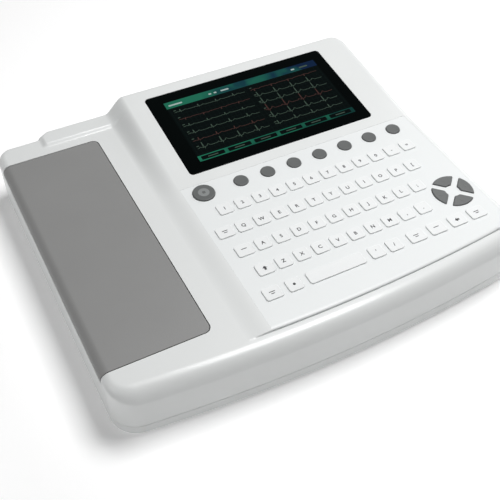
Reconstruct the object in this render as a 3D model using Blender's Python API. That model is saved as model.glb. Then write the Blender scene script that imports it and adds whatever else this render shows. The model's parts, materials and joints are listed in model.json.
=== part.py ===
"""Twelve-channel desktop ECG recorder: moulded casing, printer door, keypad, display and internals.

Millimetres are used for every dimension and are turned into metres when a mesh is made.
x runs to the operator's right, y runs to the back, z is up; the feet stand on z = 0.
"""

import math

import bpy
from mathutils import Matrix, Vector
from mathutils.geometry import delaunay_2d_cdt

MM = 0.001
GAP = 0.3
WALL = 3.0

# casing plan
HALF_WIDTH = 200.0
FRONT_Y = -171.75
BACK_Y = 171.75
FRONT_SAG = 13.2
FRONT_CORNER_R = 24.5
BACK_CORNER_R = 15.5
BACK_STEP = 6.25
BACK_STEP_X0 = -159.0
BACK_STEP_X1 = -143.0
ROLL_FRONT = 14.0
ROLL_SIDE = 8.0
ROLL_BACK = 6.0

# casing heights
BASE_BOTTOM = 3.0
PARTING_Z = 14.0
DECK_Z = 56.3
HUMP_RISE = 2.7
HUMP_Y = 147.0
SLOPE_X0 = -84.0
SLOPE_X1 = -62.0
BEND_Y = 26.2
BEND_Z = 60.3
KEY_TILT = math.radians(0.66)
DISPLAY_TILT = math.radians(6.13)
GROOVE_Y = -154.6
GROOVE_SAG = 12.2

# printer door
DOOR_X1 = -104.3
DOOR_Y0 = -129.8
DOOR_Y1 = 136.6
DOOR_EDGE_Z = 48.2
WALL_TOP_Z = 45.8
DOOR_CORNER_R = 6.0
DOOR_CLEAR = 0.8
HINGE_X = -112.3
HINGE_Z = 54.8
HINGE_PIN_R = 0.8
HINGE_HOLE_R = 1.1

# printer
ROLLER_X = -186.0
ROLLER_Z = 45.5
ROLLER_R = 6.0
ROLLER_HALF = 106.0
SHAFT_R = 2.5
GEAR_MODULE = 0.9
PLATEN_TEETH = 14
PINION_TEETH = 10
GEAR_Y0 = 119.0
GEAR_Y1 = 125.0
PAPER_X = -137.0
PAPER_Z = 28.5
PAPER_R = 20.0
PAPER_HALF = 105.0
CORE_R = 7.0

# keypad panel, in the frame of the keyboard plane
PANEL_X0 = -61.6
PANEL_X1 = 191.0
PANEL_Y1 = 27.2
PANEL_T = 3.0
PANEL_R = 12.0
KEY_PITCH = 18.35
KEY_W = 14.0
KEY_D = 13.4
KEY_R = 2.0
KEY_TOP = 1.0
ROW_Y = (-12.8, -39.5, -66.2, -92.9, -119.6)
ROW_STARTS = (-35.0, -29.3, -23.9, -18.0)
ROW_COUNTS = (12, 11, 10, 9)
WIDE_KEYS = ((-47.7, 1), (-42.2, 2), (-36.3, 3))
BOTTOM_ROW = ((-43.5, 16.0), (-22.7, 14.0), (18.5, 56.0), (60.1, 14.0), (78.7, 14.0),
              (102.5, 17.0), (124.8, 17.0), (147.6, 17.0), (169.7, 17.0))
FKEY_X0 = -4.5
FKEY_PITCH = 28.85
FKEY_Y = 14.2
FKEY_R = 7.1
BIG_X = -43.3
BIG_R = 10.6
DPAD_X = 167.6
DPAD_Y = -86.8
DPAD_R = 19.8
DPAD_INNER_R = 7.4
DPAD_HALF_GAP = 3.0
KEY_TRAVEL = 1.2

# display
GLASS_X0 = -44.4
GLASS_X1 = 160.9
GLASS_Y0 = 40.3
GLASS_Y1 = 154.6
GLASS_R = 4.0

FEET = ((-165.0, -125.0), (165.0, -125.0), (-165.0, 140.0), (165.0, 140.0))
FOOT_R = 9.0
FOOT_H = 2.7
BOSSES = ((-150.0, -145.0, 54.5), (150.0, -154.5, 52.9), (-125.0, 150.0, 56.2), (188.0, 150.0, 72.0))
BOSS_R = 4.5
PILOT_R = 1.9
SCREW_R = 1.6

MATERIALS = {
    "casing_white": ((0.80, 0.81, 0.80), 0.38, 0.0),
    "panel_white": ((0.82, 0.83, 0.82), 0.42, 0.0),
    "door_grey": ((0.25, 0.25, 0.25), 0.45, 0.0),
    "key_white": ((0.83, 0.84, 0.83), 0.5, 0.0),
    "button_grey": ((0.20, 0.20, 0.21), 0.5, 0.0),
    "screen_glass": ((0.01, 0.012, 0.013), 0.08, 0.0),
    "rubber_black": ((0.03, 0.03, 0.03), 0.8, 0.0),
    "plastic_black": ((0.035, 0.035, 0.037), 0.45, 0.0),
    "steel": ((0.55, 0.56, 0.57), 0.35, 1.0),
    "aluminium": ((0.7, 0.71, 0.72), 0.4, 1.0),
    "paper_white": ((0.85, 0.83, 0.80), 0.85, 0.0),
    "board_green": ((0.02, 0.16, 0.07), 0.5, 0.0),
    "battery_blue": ((0.05, 0.12, 0.35), 0.5, 0.0),
    "socket_grey": ((0.3, 0.3, 0.31), 0.5, 0.0),
    "brass": ((0.72, 0.53, 0.25), 0.35, 1.0),
}

for old in list(bpy.data.objects):
    bpy.data.objects.remove(old, do_unlink=True)


def material(name):
    found = bpy.data.materials.get(name)
    if found:
        return found
    colour, roughness, metallic = MATERIALS[name]
    made = bpy.data.materials.new(name)
    made.use_nodes = True
    shader = made.node_tree.nodes["Principled BSDF"]
    shader.inputs["Base Color"].default_value = (*colour, 1.0)
    shader.inputs["Roughness"].default_value = roughness
    shader.inputs["Metallic"].default_value = metallic
    return made


def make(name, verts, faces, mat=None, place=None, origin=None):
    """A mesh object from points in millimetres; place is applied to them, origin stays the pivot."""
    pivot = Vector(origin) if origin else Vector((0.0, 0.0, 0.0))
    points = [Vector(v) for v in verts]
    if place is not None:
        points = [place @ p for p in points]
    mesh = bpy.data.meshes.new(name)
    mesh.from_pydata([(p - pivot) * MM for p in points], [], faces)
    mesh.validate()
    obj = bpy.data.objects.new(name, mesh)
    bpy.context.scene.collection.objects.link(obj)
    obj.location = pivot * MM
    if mat:
        mesh.materials.append(material(mat))
    return obj


def smooth(obj, degrees=35.0):
    for o in bpy.context.selected_objects:
        o.select_set(False)
    obj.select_set(True)
    bpy.context.view_layer.objects.active = obj
    bpy.ops.object.shade_smooth()
    obj.data.set_sharp_from_angle(angle=math.radians(degrees))
    return obj


def loft(name, loops, mat=None, place=None, origin=None):
    """A closed body through loops of the same number of points, with a flat cap on each end."""
    count = len(loops[0])
    verts = [p for ring in loops for p in ring]
    faces = [tuple(reversed(range(count)))]
    for k in range(len(loops) - 1):
        for i in range(count):
            j = (i + 1) % count
            a = k * count
            faces.append((a + i, a + j, a + count + j, a + count + i))
    top = (len(loops) - 1) * count
    faces.append(tuple(top + i for i in range(count)))
    return make(name, verts, faces, mat, place, origin)


def circle(cx, cy, radius, count=24):
    return [(cx + radius * math.cos(2 * math.pi * k / count),
             cy + radius * math.sin(2 * math.pi * k / count)) for k in range(count)]


def rounded(x0, y0, x1, y1, radius, steps=2):
    """An anticlockwise rounded rectangle with steps + 1 points on each corner."""
    points = []
    corners = ((x1 - radius, y0 + radius, -90), (x1 - radius, y1 - radius, 0),
               (x0 + radius, y1 - radius, 90), (x0 + radius, y0 + radius, 180))
    for cx, cy, start in corners:
        for k in range(steps + 1):
            angle = math.radians(start + 90.0 * k / steps)
            points.append((cx + radius * math.cos(angle), cy + radius * math.sin(angle)))
    return points


def at(loop, w):
    return [(x, y, w) for x, y in loop]


def inside(x, y, loop):
    hit = False
    count = len(loop)
    for i in range(count):
        x0, y0 = loop[i][0], loop[i][1]
        x1, y1 = loop[(i + 1) % count][0], loop[(i + 1) % count][1]
        if (y0 > y) != (y1 > y):
            if x < x0 + (y - y0) * (x1 - x0) / (y1 - y0):
                hit = not hit
    return hit


def fill(outer, holes=(), lines=()):
    """Triangles over a plane region with holes; lines are creases that the triangles must follow.

    The first points are those of the outer loop and the holes in order; crease points and the places
    where creases cross come after them.
    """
    points = []
    edges = []
    for loop in (outer, *holes):
        start = len(points)
        points += [Vector((p[0], p[1])) for p in loop]
        edges += [(start + i, start + (i + 1) % len(loop)) for i in range(len(loop))]
    for line in lines:
        start = len(points)
        points += [Vector((p[0], p[1])) for p in line]
        edges += [(start + i, start + i + 1) for i in range(len(line) - 1)]
    out = delaunay_2d_cdt(points, edges, [], 0, 1e-5, True)
    flat, triangles, origins = out[0], out[2], out[3]
    index = []
    for spot, source in zip(flat, origins):
        if source:
            index.append(source[0])
        else:
            index.append(len(points))
            points.append(spot)
    kept = []
    for tri in triangles:
        cx = sum(flat[i].x for i in tri) / 3.0
        cy = sum(flat[i].y for i in tri) / 3.0
        if inside(cx, cy, outer) and not any(inside(cx, cy, hole) for hole in holes):
            kept.append(tuple(index[i] for i in tri))
    return points, kept


def plate(name, outer, holes, w0, w1, mat=None, place=None, origin=None):
    """A flat plate with through holes, from w0 up to w1."""
    points, triangles = fill(outer, holes)
    count = len(points)
    verts = [(p.x, p.y, w0) for p in points] + [(p.x, p.y, w1) for p in points]
    faces = [tuple(reversed(t)) for t in triangles]
    faces += [tuple(count + i for i in t) for t in triangles]
    start = 0
    for number, loop in enumerate((outer, *holes)):
        size = len(loop)
        for i in range(size):
            a = start + i
            b = start + (i + 1) % size
            side = (a, b, count + b, count + a)
            faces.append(side if number == 0 else tuple(reversed(side)))
        start += size
    return make(name, verts, faces, mat, place, origin)


def block(name, low, high, mat=None, place=None, origin=None):
    loop = [(low[0], low[1]), (high[0], low[1]), (high[0], high[1]), (low[0], high[1])]
    return loft(name, [at(loop, low[2]), at(loop, high[2])], mat, place, origin)


def turned(name, profile, centre, axis, mat=None, count=24, origin=None):
    """A round body with no bore; profile is (distance along the axis, radius) from end to end."""
    frame = {"x": Matrix.Rotation(math.pi / 2, 4, "Y"),
             "y": Matrix.Rotation(-math.pi / 2, 4, "X"),
             "z": Matrix.Identity(4)}[axis]
    place = Matrix.Translation(Vector(centre)) @ frame
    loops = [at(circle(0.0, 0.0, radius, count), along) for along, radius in profile]
    return loft(name, loops, mat, place, origin)


def cutter(obj):
    obj.hide_render = True
    obj.display_type = "WIRE"
    return obj


def boolean(target, tool, operation):
    cutter(tool)
    mod = target.modifiers.new(operation.title(), "BOOLEAN")
    mod.operation = operation
    mod.object = tool
    mod.solver = "EXACT"
    return target


# ---------------------------------------------------------------- casing surfaces

def ease(t):
    t = min(1.0, max(0.0, t))
    return t * t * (3.0 - 2.0 * t)


def front_y(x):
    return FRONT_Y + FRONT_SAG * (x / HALF_WIDTH) ** 2


def groove_y(x):
    return GROOVE_Y + GROOVE_SAG * (x / HALF_WIDTH) ** 2


def console_z(y):
    tilt = KEY_TILT if y < BEND_Y else DISPLAY_TILT
    return BEND_Z + (y - BEND_Y) * math.tan(tilt)


def height(x, y):
    """The top face of the casing before its rolled edge."""
    if y < groove_y(x):
        return DECK_Z
    low = DECK_Z + HUMP_RISE * ease((y - HUMP_Y) / 5.0) * ease((x + 156.0) / 6.0)
    return low + (console_z(y) - low) * ease((x - SLOPE_X0) / (SLOPE_X1 - SLOPE_X0))


def unit(x, y):
    length = math.hypot(x, y)
    return x / length, y / length


def outline():
    """Points round the casing wall, anticlockwise: (x, y, outward normal x, outward normal y)."""
    points = []
    cx = HALF_WIDTH - FRONT_CORNER_R
    nx, ny = unit(2.0 * FRONT_SAG * cx / HALF_WIDTH ** 2, -1.0)
    end_x = cx + FRONT_CORNER_R * nx
    cy = front_y(end_x) - FRONT_CORNER_R * ny
    for k in range(15):
        x = end_x * (2.0 * k / 14 - 1.0)
        points.append((x, front_y(x), *unit(2.0 * FRONT_SAG * x / HALF_WIDTH ** 2, -1.0)))
    start = math.atan2(ny, nx)
    for k in range(1, 7):
        angle = start * (1.0 - k / 6.0)
        c, s = math.cos(angle), math.sin(angle)
        points.append((cx + FRONT_CORNER_R * c, cy + FRONT_CORNER_R * s, c, s))
    for y in (-60.0, 26.2, 90.0):
        points.append((HALF_WIDTH, y, 1.0, 0.0))
    for side in (1, -1):
        back = BACK_Y if side > 0 else BACK_Y - BACK_STEP
        bx = side * (HALF_WIDTH - BACK_CORNER_R)
        for k in range(6):
            angle = math.radians(18.0 * k) if side > 0 else math.radians(90.0 + 18.0 * k)
            c, s = math.cos(angle), math.sin(angle)
            points.append((bx + BACK_CORNER_R * c, back - BACK_CORNER_R + BACK_CORNER_R * s, c, s))
        if side > 0:
            for x in (60.0, -30.0, SLOPE_X1, -66.4, -70.8, -75.2, -79.6, SLOPE_X0, -115.0):
                points.append((x, BACK_Y, 0.0, 1.0))
            for k in range(7):
                t = k / 6.0
                x = BACK_STEP_X1 + t * (BACK_STEP_X0 - BACK_STEP_X1)
                y = BACK_Y - BACK_STEP * 0.5 * (1.0 - math.cos(math.pi * t))
                slope = BACK_STEP * 0.5 * math.pi * math.sin(math.pi * t) / (BACK_STEP_X1 - BACK_STEP_X0)
                points.append((x, y, *unit(-slope, 1.0)))
    points.append((-HALF_WIDTH, 0.0, -1.0, 0.0))
    for k in range(6):
        angle = math.pi - start * k / 6.0
        c, s = math.cos(angle), math.sin(angle)
        points.append((-cx + FRONT_CORNER_R * c, cy + FRONT_CORNER_R * s, c, s))
    return points


def roll_radius(ny):
    front = (ROLL_FRONT - ROLL_SIDE) * max(0.0, -ny) ** 2
    back = (ROLL_BACK - ROLL_SIDE) * max(0.0, ny) ** 2
    return ROLL_SIDE + front + back


def groove_lines(x0, x1, offset):
    return [(x0 + (x1 - x0) * k / 12.0, groove_y(x0 + (x1 - x0) * k / 12.0) + offset) for k in range(13)]


def casing_block(name, inset, z_low, steps):
    """The solid outside form of the upper casing, or its inside form when inset by the wall."""
    rim = outline()
    rings = []
    for k in range(steps + 1):
        angle = math.radians(90.0 * k / steps)
        ring = []
        for x, y, nx, ny in rim:
            radius = roll_radius(ny) - inset
            top = height(x - nx * (inset + radius), y - ny * (inset + radius)) - inset
            shift = inset + radius * (1.0 - math.sin(angle))
            drop = radius * (1.0 - math.cos(angle))
            ring.append((x - nx * shift, y - ny * shift, top - drop))
        rings.append(ring)
    wall = [(p[0], p[1], z_low) for p in rings[-1]]
    rings.append(wall)
    loop = rings[0]
    creases = []
    for fraction in (0.0, 0.2, 0.4, 0.6, 0.8, 1.0):
        x = SLOPE_X0 + fraction * (SLOPE_X1 - SLOPE_X0)
        creases.append([(x, y) for y in (groove_y(x) + 2.0, -60.0, BEND_Y, 95.0, BACK_Y - 8.0)])
    creases.append([(SLOPE_X1 + 2.0, BEND_Y), (60.0, BEND_Y), (HALF_WIDTH - 9.0 - inset, BEND_Y)])
    creases.append(groove_lines(SLOPE_X0, HALF_WIDTH - 18.0, -0.6))
    creases.append(groove_lines(SLOPE_X0, HALF_WIDTH - 18.0, 0.6))
    for y in (HUMP_Y, HUMP_Y + 1.7, HUMP_Y + 3.3, HUMP_Y + 5.0):
        creases.append([(-157.0, y), (-150.0, y), (-120.0, y), (SLOPE_X0 - 1.0, y)])
    for x in (-156.0, -153.0, -150.0):
        creases.append([(x, HUMP_Y - 0.5), (x, 157.0)])
    points, triangles = fill(loop, (), creases)
    count = len(loop)
    verts = [(p.x, p.y, loop[i][2] if i < count else height(p.x, p.y) - inset)
             for i, p in enumerate(points)]
    faces = list(triangles)
    previous = list(range(count))
    for ring in rings[1:]:
        start = len(verts)
        verts += ring
        now = list(range(start, start + count))
        for i in range(count):
            j = (i + 1) % count
            faces.append((previous[i], now[i], now[j], previous[j]))
        previous = now
    faces.append(tuple(reversed(previous)))
    return make(name, verts, faces, "casing_white")


def keys_frame():
    return Matrix.Translation(Vector((0.0, BEND_Y, BEND_Z))) @ Matrix.Rotation(KEY_TILT, 4, "X")


def display_frame():
    return Matrix.Translation(Vector((0.0, BEND_Y, BEND_Z))) @ Matrix.Rotation(DISPLAY_TILT, 4, "X")


def panel_outline(grow):
    """The keypad panel seen square on, in the keys frame; the front edge follows the groove."""
    x0 = PANEL_X0 - grow
    x1 = PANEL_X1 + grow
    back = PANEL_Y1 - BEND_Y + grow
    radius = PANEL_R + grow
    cx = x1 - radius
    cy = groove_y(cx) + GAP - grow - BEND_Y + radius
    front = [x0 + (cx - x0) * k / 12.0 for k in range(12)]
    front = [(x, groove_y(x) + GAP - grow - BEND_Y) for x in front]
    corner = [math.radians(-90.0 + 18.0 * k) for k in range(6)]
    corner = [(cx + radius * math.cos(a), cy + radius * math.sin(a)) for a in corner]
    return front + corner + [(x1, back), (x0, back)]


def door_outline(grow):
    """The door seen from above; it runs out past the left wall so that it takes in the rolled edge."""
    radius = DOOR_CORNER_R + grow
    x1 = DOOR_X1 + grow
    y0 = DOOR_Y0 - grow
    y1 = DOOR_Y1 + grow
    points = [(-HALF_WIDTH - 10.0, y1), (-HALF_WIDTH - 10.0, y0)]
    for cx, cy, start in ((x1 - radius, y0 + radius, -90.0), (x1 - radius, y1 - radius, 0.0)):
        for k in range(5):
            angle = math.radians(start + 22.5 * k)
            points.append((cx + radius * math.cos(angle), cy + radius * math.sin(angle)))
    return points


def hinge_hole(name, y0, y1):
    return turned(name, [(y0, HINGE_HOLE_R), (y1, HINGE_HOLE_R)], (HINGE_X, 0.0, HINGE_Z), "y", None, 16)


# ---------------------------------------------------------------- casing

top_shell = casing_block("top_shell", 0.0, PARTING_Z + 0.2, 4)
hollow = casing_block("cut_hollow", WALL, 4.0, 2)
boolean(top_shell, hollow, "DIFFERENCE")
for number, (bx, by, top) in enumerate(BOSSES):
    boss = turned("add_boss_%d" % number, [(BASE_BOTTOM + WALL + GAP, BOSS_R), (top, BOSS_R)],
                  (bx, by, 0.0), "z")
    boolean(top_shell, boss, "UNION")
    pilot = turned("cut_pilot_%d" % number, [(0.0, PILOT_R), (22.0, PILOT_R)], (bx, by, 0.0), "z", None, 16)
    boolean(top_shell, pilot, "DIFFERENCE")

panel_window = loft("cut_panel_window", [at(panel_outline(GAP), -14.0), at(panel_outline(GAP), 10.0)],
                    None, keys_frame())
boolean(top_shell, panel_window, "DIFFERENCE")
glass_window_loop = rounded(GLASS_X0 - GAP, GLASS_Y0 - BEND_Y - GAP, GLASS_X1 + GAP,
                            GLASS_Y1 - BEND_Y + GAP, GLASS_R + GAP, 3)
glass_window = loft("cut_glass_window", [at(glass_window_loop, -14.0), at(glass_window_loop, 10.0)],
                    None, display_frame())
boolean(top_shell, glass_window, "DIFFERENCE")
door_window = loft("cut_door_window", [at(door_outline(DOOR_CLEAR), WALL_TOP_Z),
                                       at(door_outline(DOOR_CLEAR), 80.0)])
boolean(top_shell, door_window, "DIFFERENCE")
hinge_cut = hinge_hole("cut_hinge_holes", -135.3, -121.7)
boolean(top_shell, hinge_cut, "DIFFERENCE")
hinge_cut_back = hinge_hole("cut_hinge_holes_back", 128.3, 142.3)
boolean(top_shell, hinge_cut_back, "DIFFERENCE")

BACK_SOCKETS = {
    "mains_inlet": (150.0, 36.0, 28.0, 21.0),
    "rocker_bezel": (118.0, 36.0, 16.0, 22.0),
    "lan_port": (72.0, 30.0, 16.4, 14.0),
    "usb_port": (48.0, 30.0, 14.5, 7.2),
}
for socket, (sx, sz, width, tall) in BACK_SOCKETS.items():
    hole = block("cut_" + socket, (sx - width / 2 - GAP, BACK_Y - 8.0, sz - tall / 2 - GAP),
                 (sx + width / 2 + GAP, BACK_Y + 5.0, sz + tall / 2 + GAP))
    boolean(top_shell, hole, "DIFFERENCE")
STUD_X = 176.0
STUD_Z = 30.0
stud_hole = turned("cut_ground_stud", [(BACK_Y - 8.0, 2.3), (BACK_Y + 5.0, 2.3)], (STUD_X, 0.0, STUD_Z), "y",
                   None, 16)
boolean(top_shell, stud_hole, "DIFFERENCE")
ECG_Y = -40.0
ECG_Z = 34.0
ECG_HALF = 26.0
ecg_hole = block("cut_ecg_socket", (HALF_WIDTH - 8.0, ECG_Y - ECG_HALF - GAP, ECG_Z - 9.0 - GAP),
                 (HALF_WIDTH + 5.0, ECG_Y + ECG_HALF + GAP, ECG_Z + 9.0 + GAP))
boolean(top_shell, ecg_hole, "DIFFERENCE")
smooth(top_shell)

paper_door = casing_block("paper_door", 0.0, PARTING_Z + 0.2, 6)
paper_door.data.materials.clear()
paper_door.data.materials.append(material("door_grey"))
door_hollow = casing_block("cut_door_hollow", WALL, 4.0, 3)
boolean(paper_door, door_hollow, "DIFFERENCE")
door_prism = loft("cut_door_prism", [at(door_outline(0.0), DOOR_EDGE_Z), at(door_outline(0.0), 80.0)])
boolean(paper_door, door_prism, "INTERSECT")
boolean(paper_door, hinge_hole("cut_door_hinge_front", -135.3, -121.7), "DIFFERENCE")
boolean(paper_door, hinge_hole("cut_door_hinge_back", 128.3, 142.3), "DIFFERENCE")
smooth(paper_door)
for side, y0, y1 in (("front", -135.0, -122.0), ("back", 128.6, 142.0)):
    smooth(turned("hinge_pin_" + side, [(y0, HINGE_PIN_R), (y1, HINGE_PIN_R)], (HINGE_X, 0.0, HINGE_Z), "y",
                  "steel", 16))


def base():
    rim = outline()
    floor = BASE_BOTTOM + WALL
    stages = ((2.0, BASE_BOTTOM), (0.6, BASE_BOTTOM + 0.6), (0.0, BASE_BOTTOM + 2.0), (0.0, PARTING_Z - 0.1),
              (WALL, PARTING_Z - 0.1), (WALL, floor))
    loops = [[(x - nx * inset, y - ny * inset, z) for x, y, nx, ny in rim] for inset, z in stages]
    return loft("base_shell", loops, "casing_white")


base_shell = base()
for number, (bx, by, top) in enumerate(BOSSES):
    hole = turned("cut_base_screw_%d" % number, [(0.0, 3.3), (5.0 - GAP, 3.3), (5.0 - GAP, PILOT_R), (8.0, PILOT_R)],
                  (bx, by, 0.0), "z", None, 16)
    boolean(base_shell, hole, "DIFFERENCE")
    smooth(turned("case_screw_%d" % (number + 1), [(3.1, 2.6), (4.4, 3.0), (4.4, SCREW_R), (20.0, SCREW_R)],
                  (bx, by, 0.0), "z", "steel", 16))
BATTERY_X0, BATTERY_X1, BATTERY_Y0, BATTERY_Y1 = 62.0, 172.0, 42.0, 122.0
battery_loop = rounded(BATTERY_X0, BATTERY_Y0, BATTERY_X1, BATTERY_Y1, 4.0)
battery_hole_loop = rounded(BATTERY_X0 - GAP, BATTERY_Y0 - GAP, BATTERY_X1 + GAP, BATTERY_Y1 + GAP, 4.0 + GAP)
battery_hole = loft("cut_battery", [at(battery_hole_loop, 0.0), at(battery_hole_loop, 9.0)])
boolean(base_shell, battery_hole, "DIFFERENCE")
smooth(base_shell)
loft("battery_cover", [at(battery_loop, BASE_BOTTOM), at(battery_loop, BASE_BOTTOM + WALL)], "casing_white")

FOOT_NAMES = ("front_left", "front_right", "back_left", "back_right")
for foot_name, (fx, fy) in zip(FOOT_NAMES, FEET):
    smooth(turned("foot_" + foot_name, [(0.0, FOOT_R - 1.0), (1.0, FOOT_R), (FOOT_H, FOOT_R)],
                  (fx, fy, 0.0), "z", "rubber_black"))

# ---------------------------------------------------------------- keypad panel, keys and buttons

KEYS = keys_frame()


def key_list():
    """(x, y, width) of every character key, y measured in the part's frame."""
    keys = []
    for row in range(4):
        for k in range(ROW_COUNTS[row]):
            keys.append((ROW_STARTS[row] + KEY_PITCH * k, ROW_Y[row], KEY_W))
    keys += [(x, ROW_Y[row], 16.0) for x, row in WIDE_KEYS]
    keys += [(x, ROW_Y[4], width) for x, width in BOTTOM_ROW]
    return keys


def key_loop(x, y, width, grow):
    v = y - BEND_Y
    return rounded(x - width / 2 - grow, v - KEY_D / 2 - grow, x + width / 2 + grow, v + KEY_D / 2 + grow,
                   KEY_R + grow, 1)


def sector(turn, grow):
    """One quarter of the direction pad, centred on the pad's centre and turned to face its direction."""
    points = []
    gap = DPAD_HALF_GAP - grow
    outer = DPAD_R + grow
    inner = DPAD_INNER_R - grow
    reach = math.pi / 4 - math.asin(gap / outer)
    short = math.pi / 4 - math.asin(gap / inner)
    for k in range(7):
        angle = turn + reach * (k / 3.0 - 1.0)
        points.append((outer * math.cos(angle), outer * math.sin(angle)))
    for k in range(3):
        angle = turn + short * (1.0 - k)
        points.append((inner * math.cos(angle), inner * math.sin(angle)))
    return points


def moved(loop, dx, dy):
    return [(x + dx, y + dy) for x, y in loop]


ARROWS = (("right", 0.0), ("up", 90.0), ("left", 180.0), ("down", 270.0))
FKEYS = [(FKEY_X0 + FKEY_PITCH * k, FKEY_Y) for k in range(7)]

panel_holes = [key_loop(x, y, width, GAP) for x, y, width in key_list()]
panel_holes += [circle(x, y - BEND_Y, FKEY_R + GAP) for x, y in FKEYS]
panel_holes.append(circle(BIG_X, FKEY_Y - BEND_Y, BIG_R + GAP))
panel_holes += [moved(sector(math.radians(turn), GAP), DPAD_X, DPAD_Y - BEND_Y) for arrow, turn in ARROWS]
plate("control_panel", panel_outline(0.0), panel_holes, -PANEL_T, 0.0, "panel_white", KEYS)


def keypad_mat():
    """One moulding: a thin sheet with every character key standing on it, notched round the arrows."""
    low, high = -4.5, -PANEL_T - GAP
    sheet = [(-60.5, -131.0), (183.0, -131.0), (183.0, -111.0), (143.0, -111.0), (143.0, -73.3),
             (148.9, -73.3), (148.9, -62.0), (183.0, -62.0), (183.0, -2.5), (-60.5, -2.5)]
    sheet = [(x, y - BEND_Y) for x, y in sheet]
    loops = [key_loop(x, y, width, 0.0) for x, y, width in key_list()]
    points, triangles = fill(sheet, loops)
    verts = [(p.x, p.y, high) for p in points]
    faces = list(triangles)
    start = len(sheet)
    for x, y, width in key_list():
        size = 8
        stages = ((0.0, KEY_TOP - 0.5), (-0.6, KEY_TOP))
        previous = list(range(start, start + size))
        for grow, w in stages:
            first = len(verts)
            verts += [(p[0], p[1], w) for p in key_loop(x, y, width, grow)]
            now = list(range(first, first + size))
            for i in range(size):
                j = (i + 1) % size
                faces.append((previous[i], previous[j], now[j], now[i]))
            previous = now
        faces.append(tuple(previous))
        start += size
    count = len(sheet)
    first = len(verts)
    verts += [(x, y, low) for x, y in sheet]
    for i in range(count):
        j = (i + 1) % count
        faces.append((i, first + i, first + j, j))
    below = fill(sheet)[1]
    faces += [tuple(first + i for i in reversed(t)) for t in below]
    return make("keypad_mat", verts, faces, "key_white", KEYS)


keypad_mat()

FLANGE_LOW = -4.3
FLANGE_HIGH = -PANEL_T - GAP


def push_button(name, loops, centre, mat):
    """A button with a retaining flange under the panel; loops are (outline, w) from bottom to top."""
    pivot = KEYS @ Vector((centre[0], centre[1] - BEND_Y, 0.0))
    rings = [at(loop, w) for loop, w in loops]
    return smooth(loft(name, rings, mat, KEYS, tuple(pivot)))


def round_button(name, x, y, radius, top, mat):
    v = y - BEND_Y
    flange = circle(x, v, radius + 1.3)
    body = circle(x, v, radius)
    crown = circle(x, v, radius - 0.5)
    loops = [(flange, FLANGE_LOW), (flange, FLANGE_HIGH), (body, FLANGE_HIGH), (body, top - 0.4), (crown, top)]
    return push_button(name, loops, (x, y), mat)


round_button("power_print_button", BIG_X, FKEY_Y, BIG_R, 1.5, "button_grey")
for k, (fx, fy) in enumerate(FKEYS):
    round_button("f_key_%d" % (k + 1), fx, fy, FKEY_R, 1.2, "button_grey")
for arrow, turn in ARROWS:
    angle = math.radians(turn)
    centre = (DPAD_X, DPAD_Y - BEND_Y)
    flange = moved(sector(angle, 0.9), *centre)
    body = moved(sector(angle, 0.0), *centre)
    crown = moved(sector(angle, -0.5), *centre)
    loops = [(flange, FLANGE_LOW), (flange, FLANGE_HIGH), (body, FLANGE_HIGH), (body, 0.9), (crown, 1.3)]
    middle = (DPAD_X + 14.0 * math.cos(angle), DPAD_Y + 14.0 * math.sin(angle))
    push_button("arrow_" + arrow, loops, middle, "button_grey")
block("keypad_board", (-62.0, -157.0 + 1.0, -7.6), (187.0, -0.5, -6.0), "board_green", KEYS)

# ---------------------------------------------------------------- display

DISPLAY = display_frame()
glass_loop = rounded(GLASS_X0, GLASS_Y0 - BEND_Y, GLASS_X1, GLASS_Y1 - BEND_Y, GLASS_R, 3)
loft("display_glass", [at(glass_loop, -3.0), at(glass_loop, 0.0)], "screen_glass", DISPLAY)
block("lcd_module", (-38.0, 18.0, -11.3), (156.0, 124.0, -3.3), "steel", DISPLAY)

# ---------------------------------------------------------------- printer


def tube_y(name, y0, y1, outer, bore, x, z, mat, count=24):
    """A round sleeve along y with a bore."""
    place = Matrix.Translation(Vector((x, 0.0, z))) @ Matrix.Rotation(math.pi / 2, 4, "X")
    return smooth(plate(name, circle(0.0, 0.0, outer, count), [circle(0.0, 0.0, bore, count)], -y1, -y0,
                        mat, place, (x, 0.0, z)))


def gear(name, teeth, first_tooth, y0, y1, bore, x, z, mat):
    """A spur gear; first_tooth is the direction of one tooth's middle, in degrees from +x towards +z."""
    pitch = GEAR_MODULE * teeth / 2.0
    tip = pitch + GEAR_MODULE
    root = pitch - 1.25 * GEAR_MODULE
    step = 2.0 * math.pi / teeth
    points = []
    for k in range(teeth):
        middle = math.radians(first_tooth) + step * k
        for radius, part in ((root, -0.32), (pitch, -0.215), (tip, -0.09), (tip, 0.09), (pitch, 0.215),
                             (root, 0.32)):
            angle = middle + step * part
            points.append((radius * math.cos(angle), radius * math.sin(angle)))
    place = Matrix.Translation(Vector((x, 0.0, z))) @ Matrix.Rotation(math.pi / 2, 4, "X")
    return plate(name, points, [circle(0.0, 0.0, bore, 16)], -y1, -y0, mat, place, (x, 0.0, z))


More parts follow.
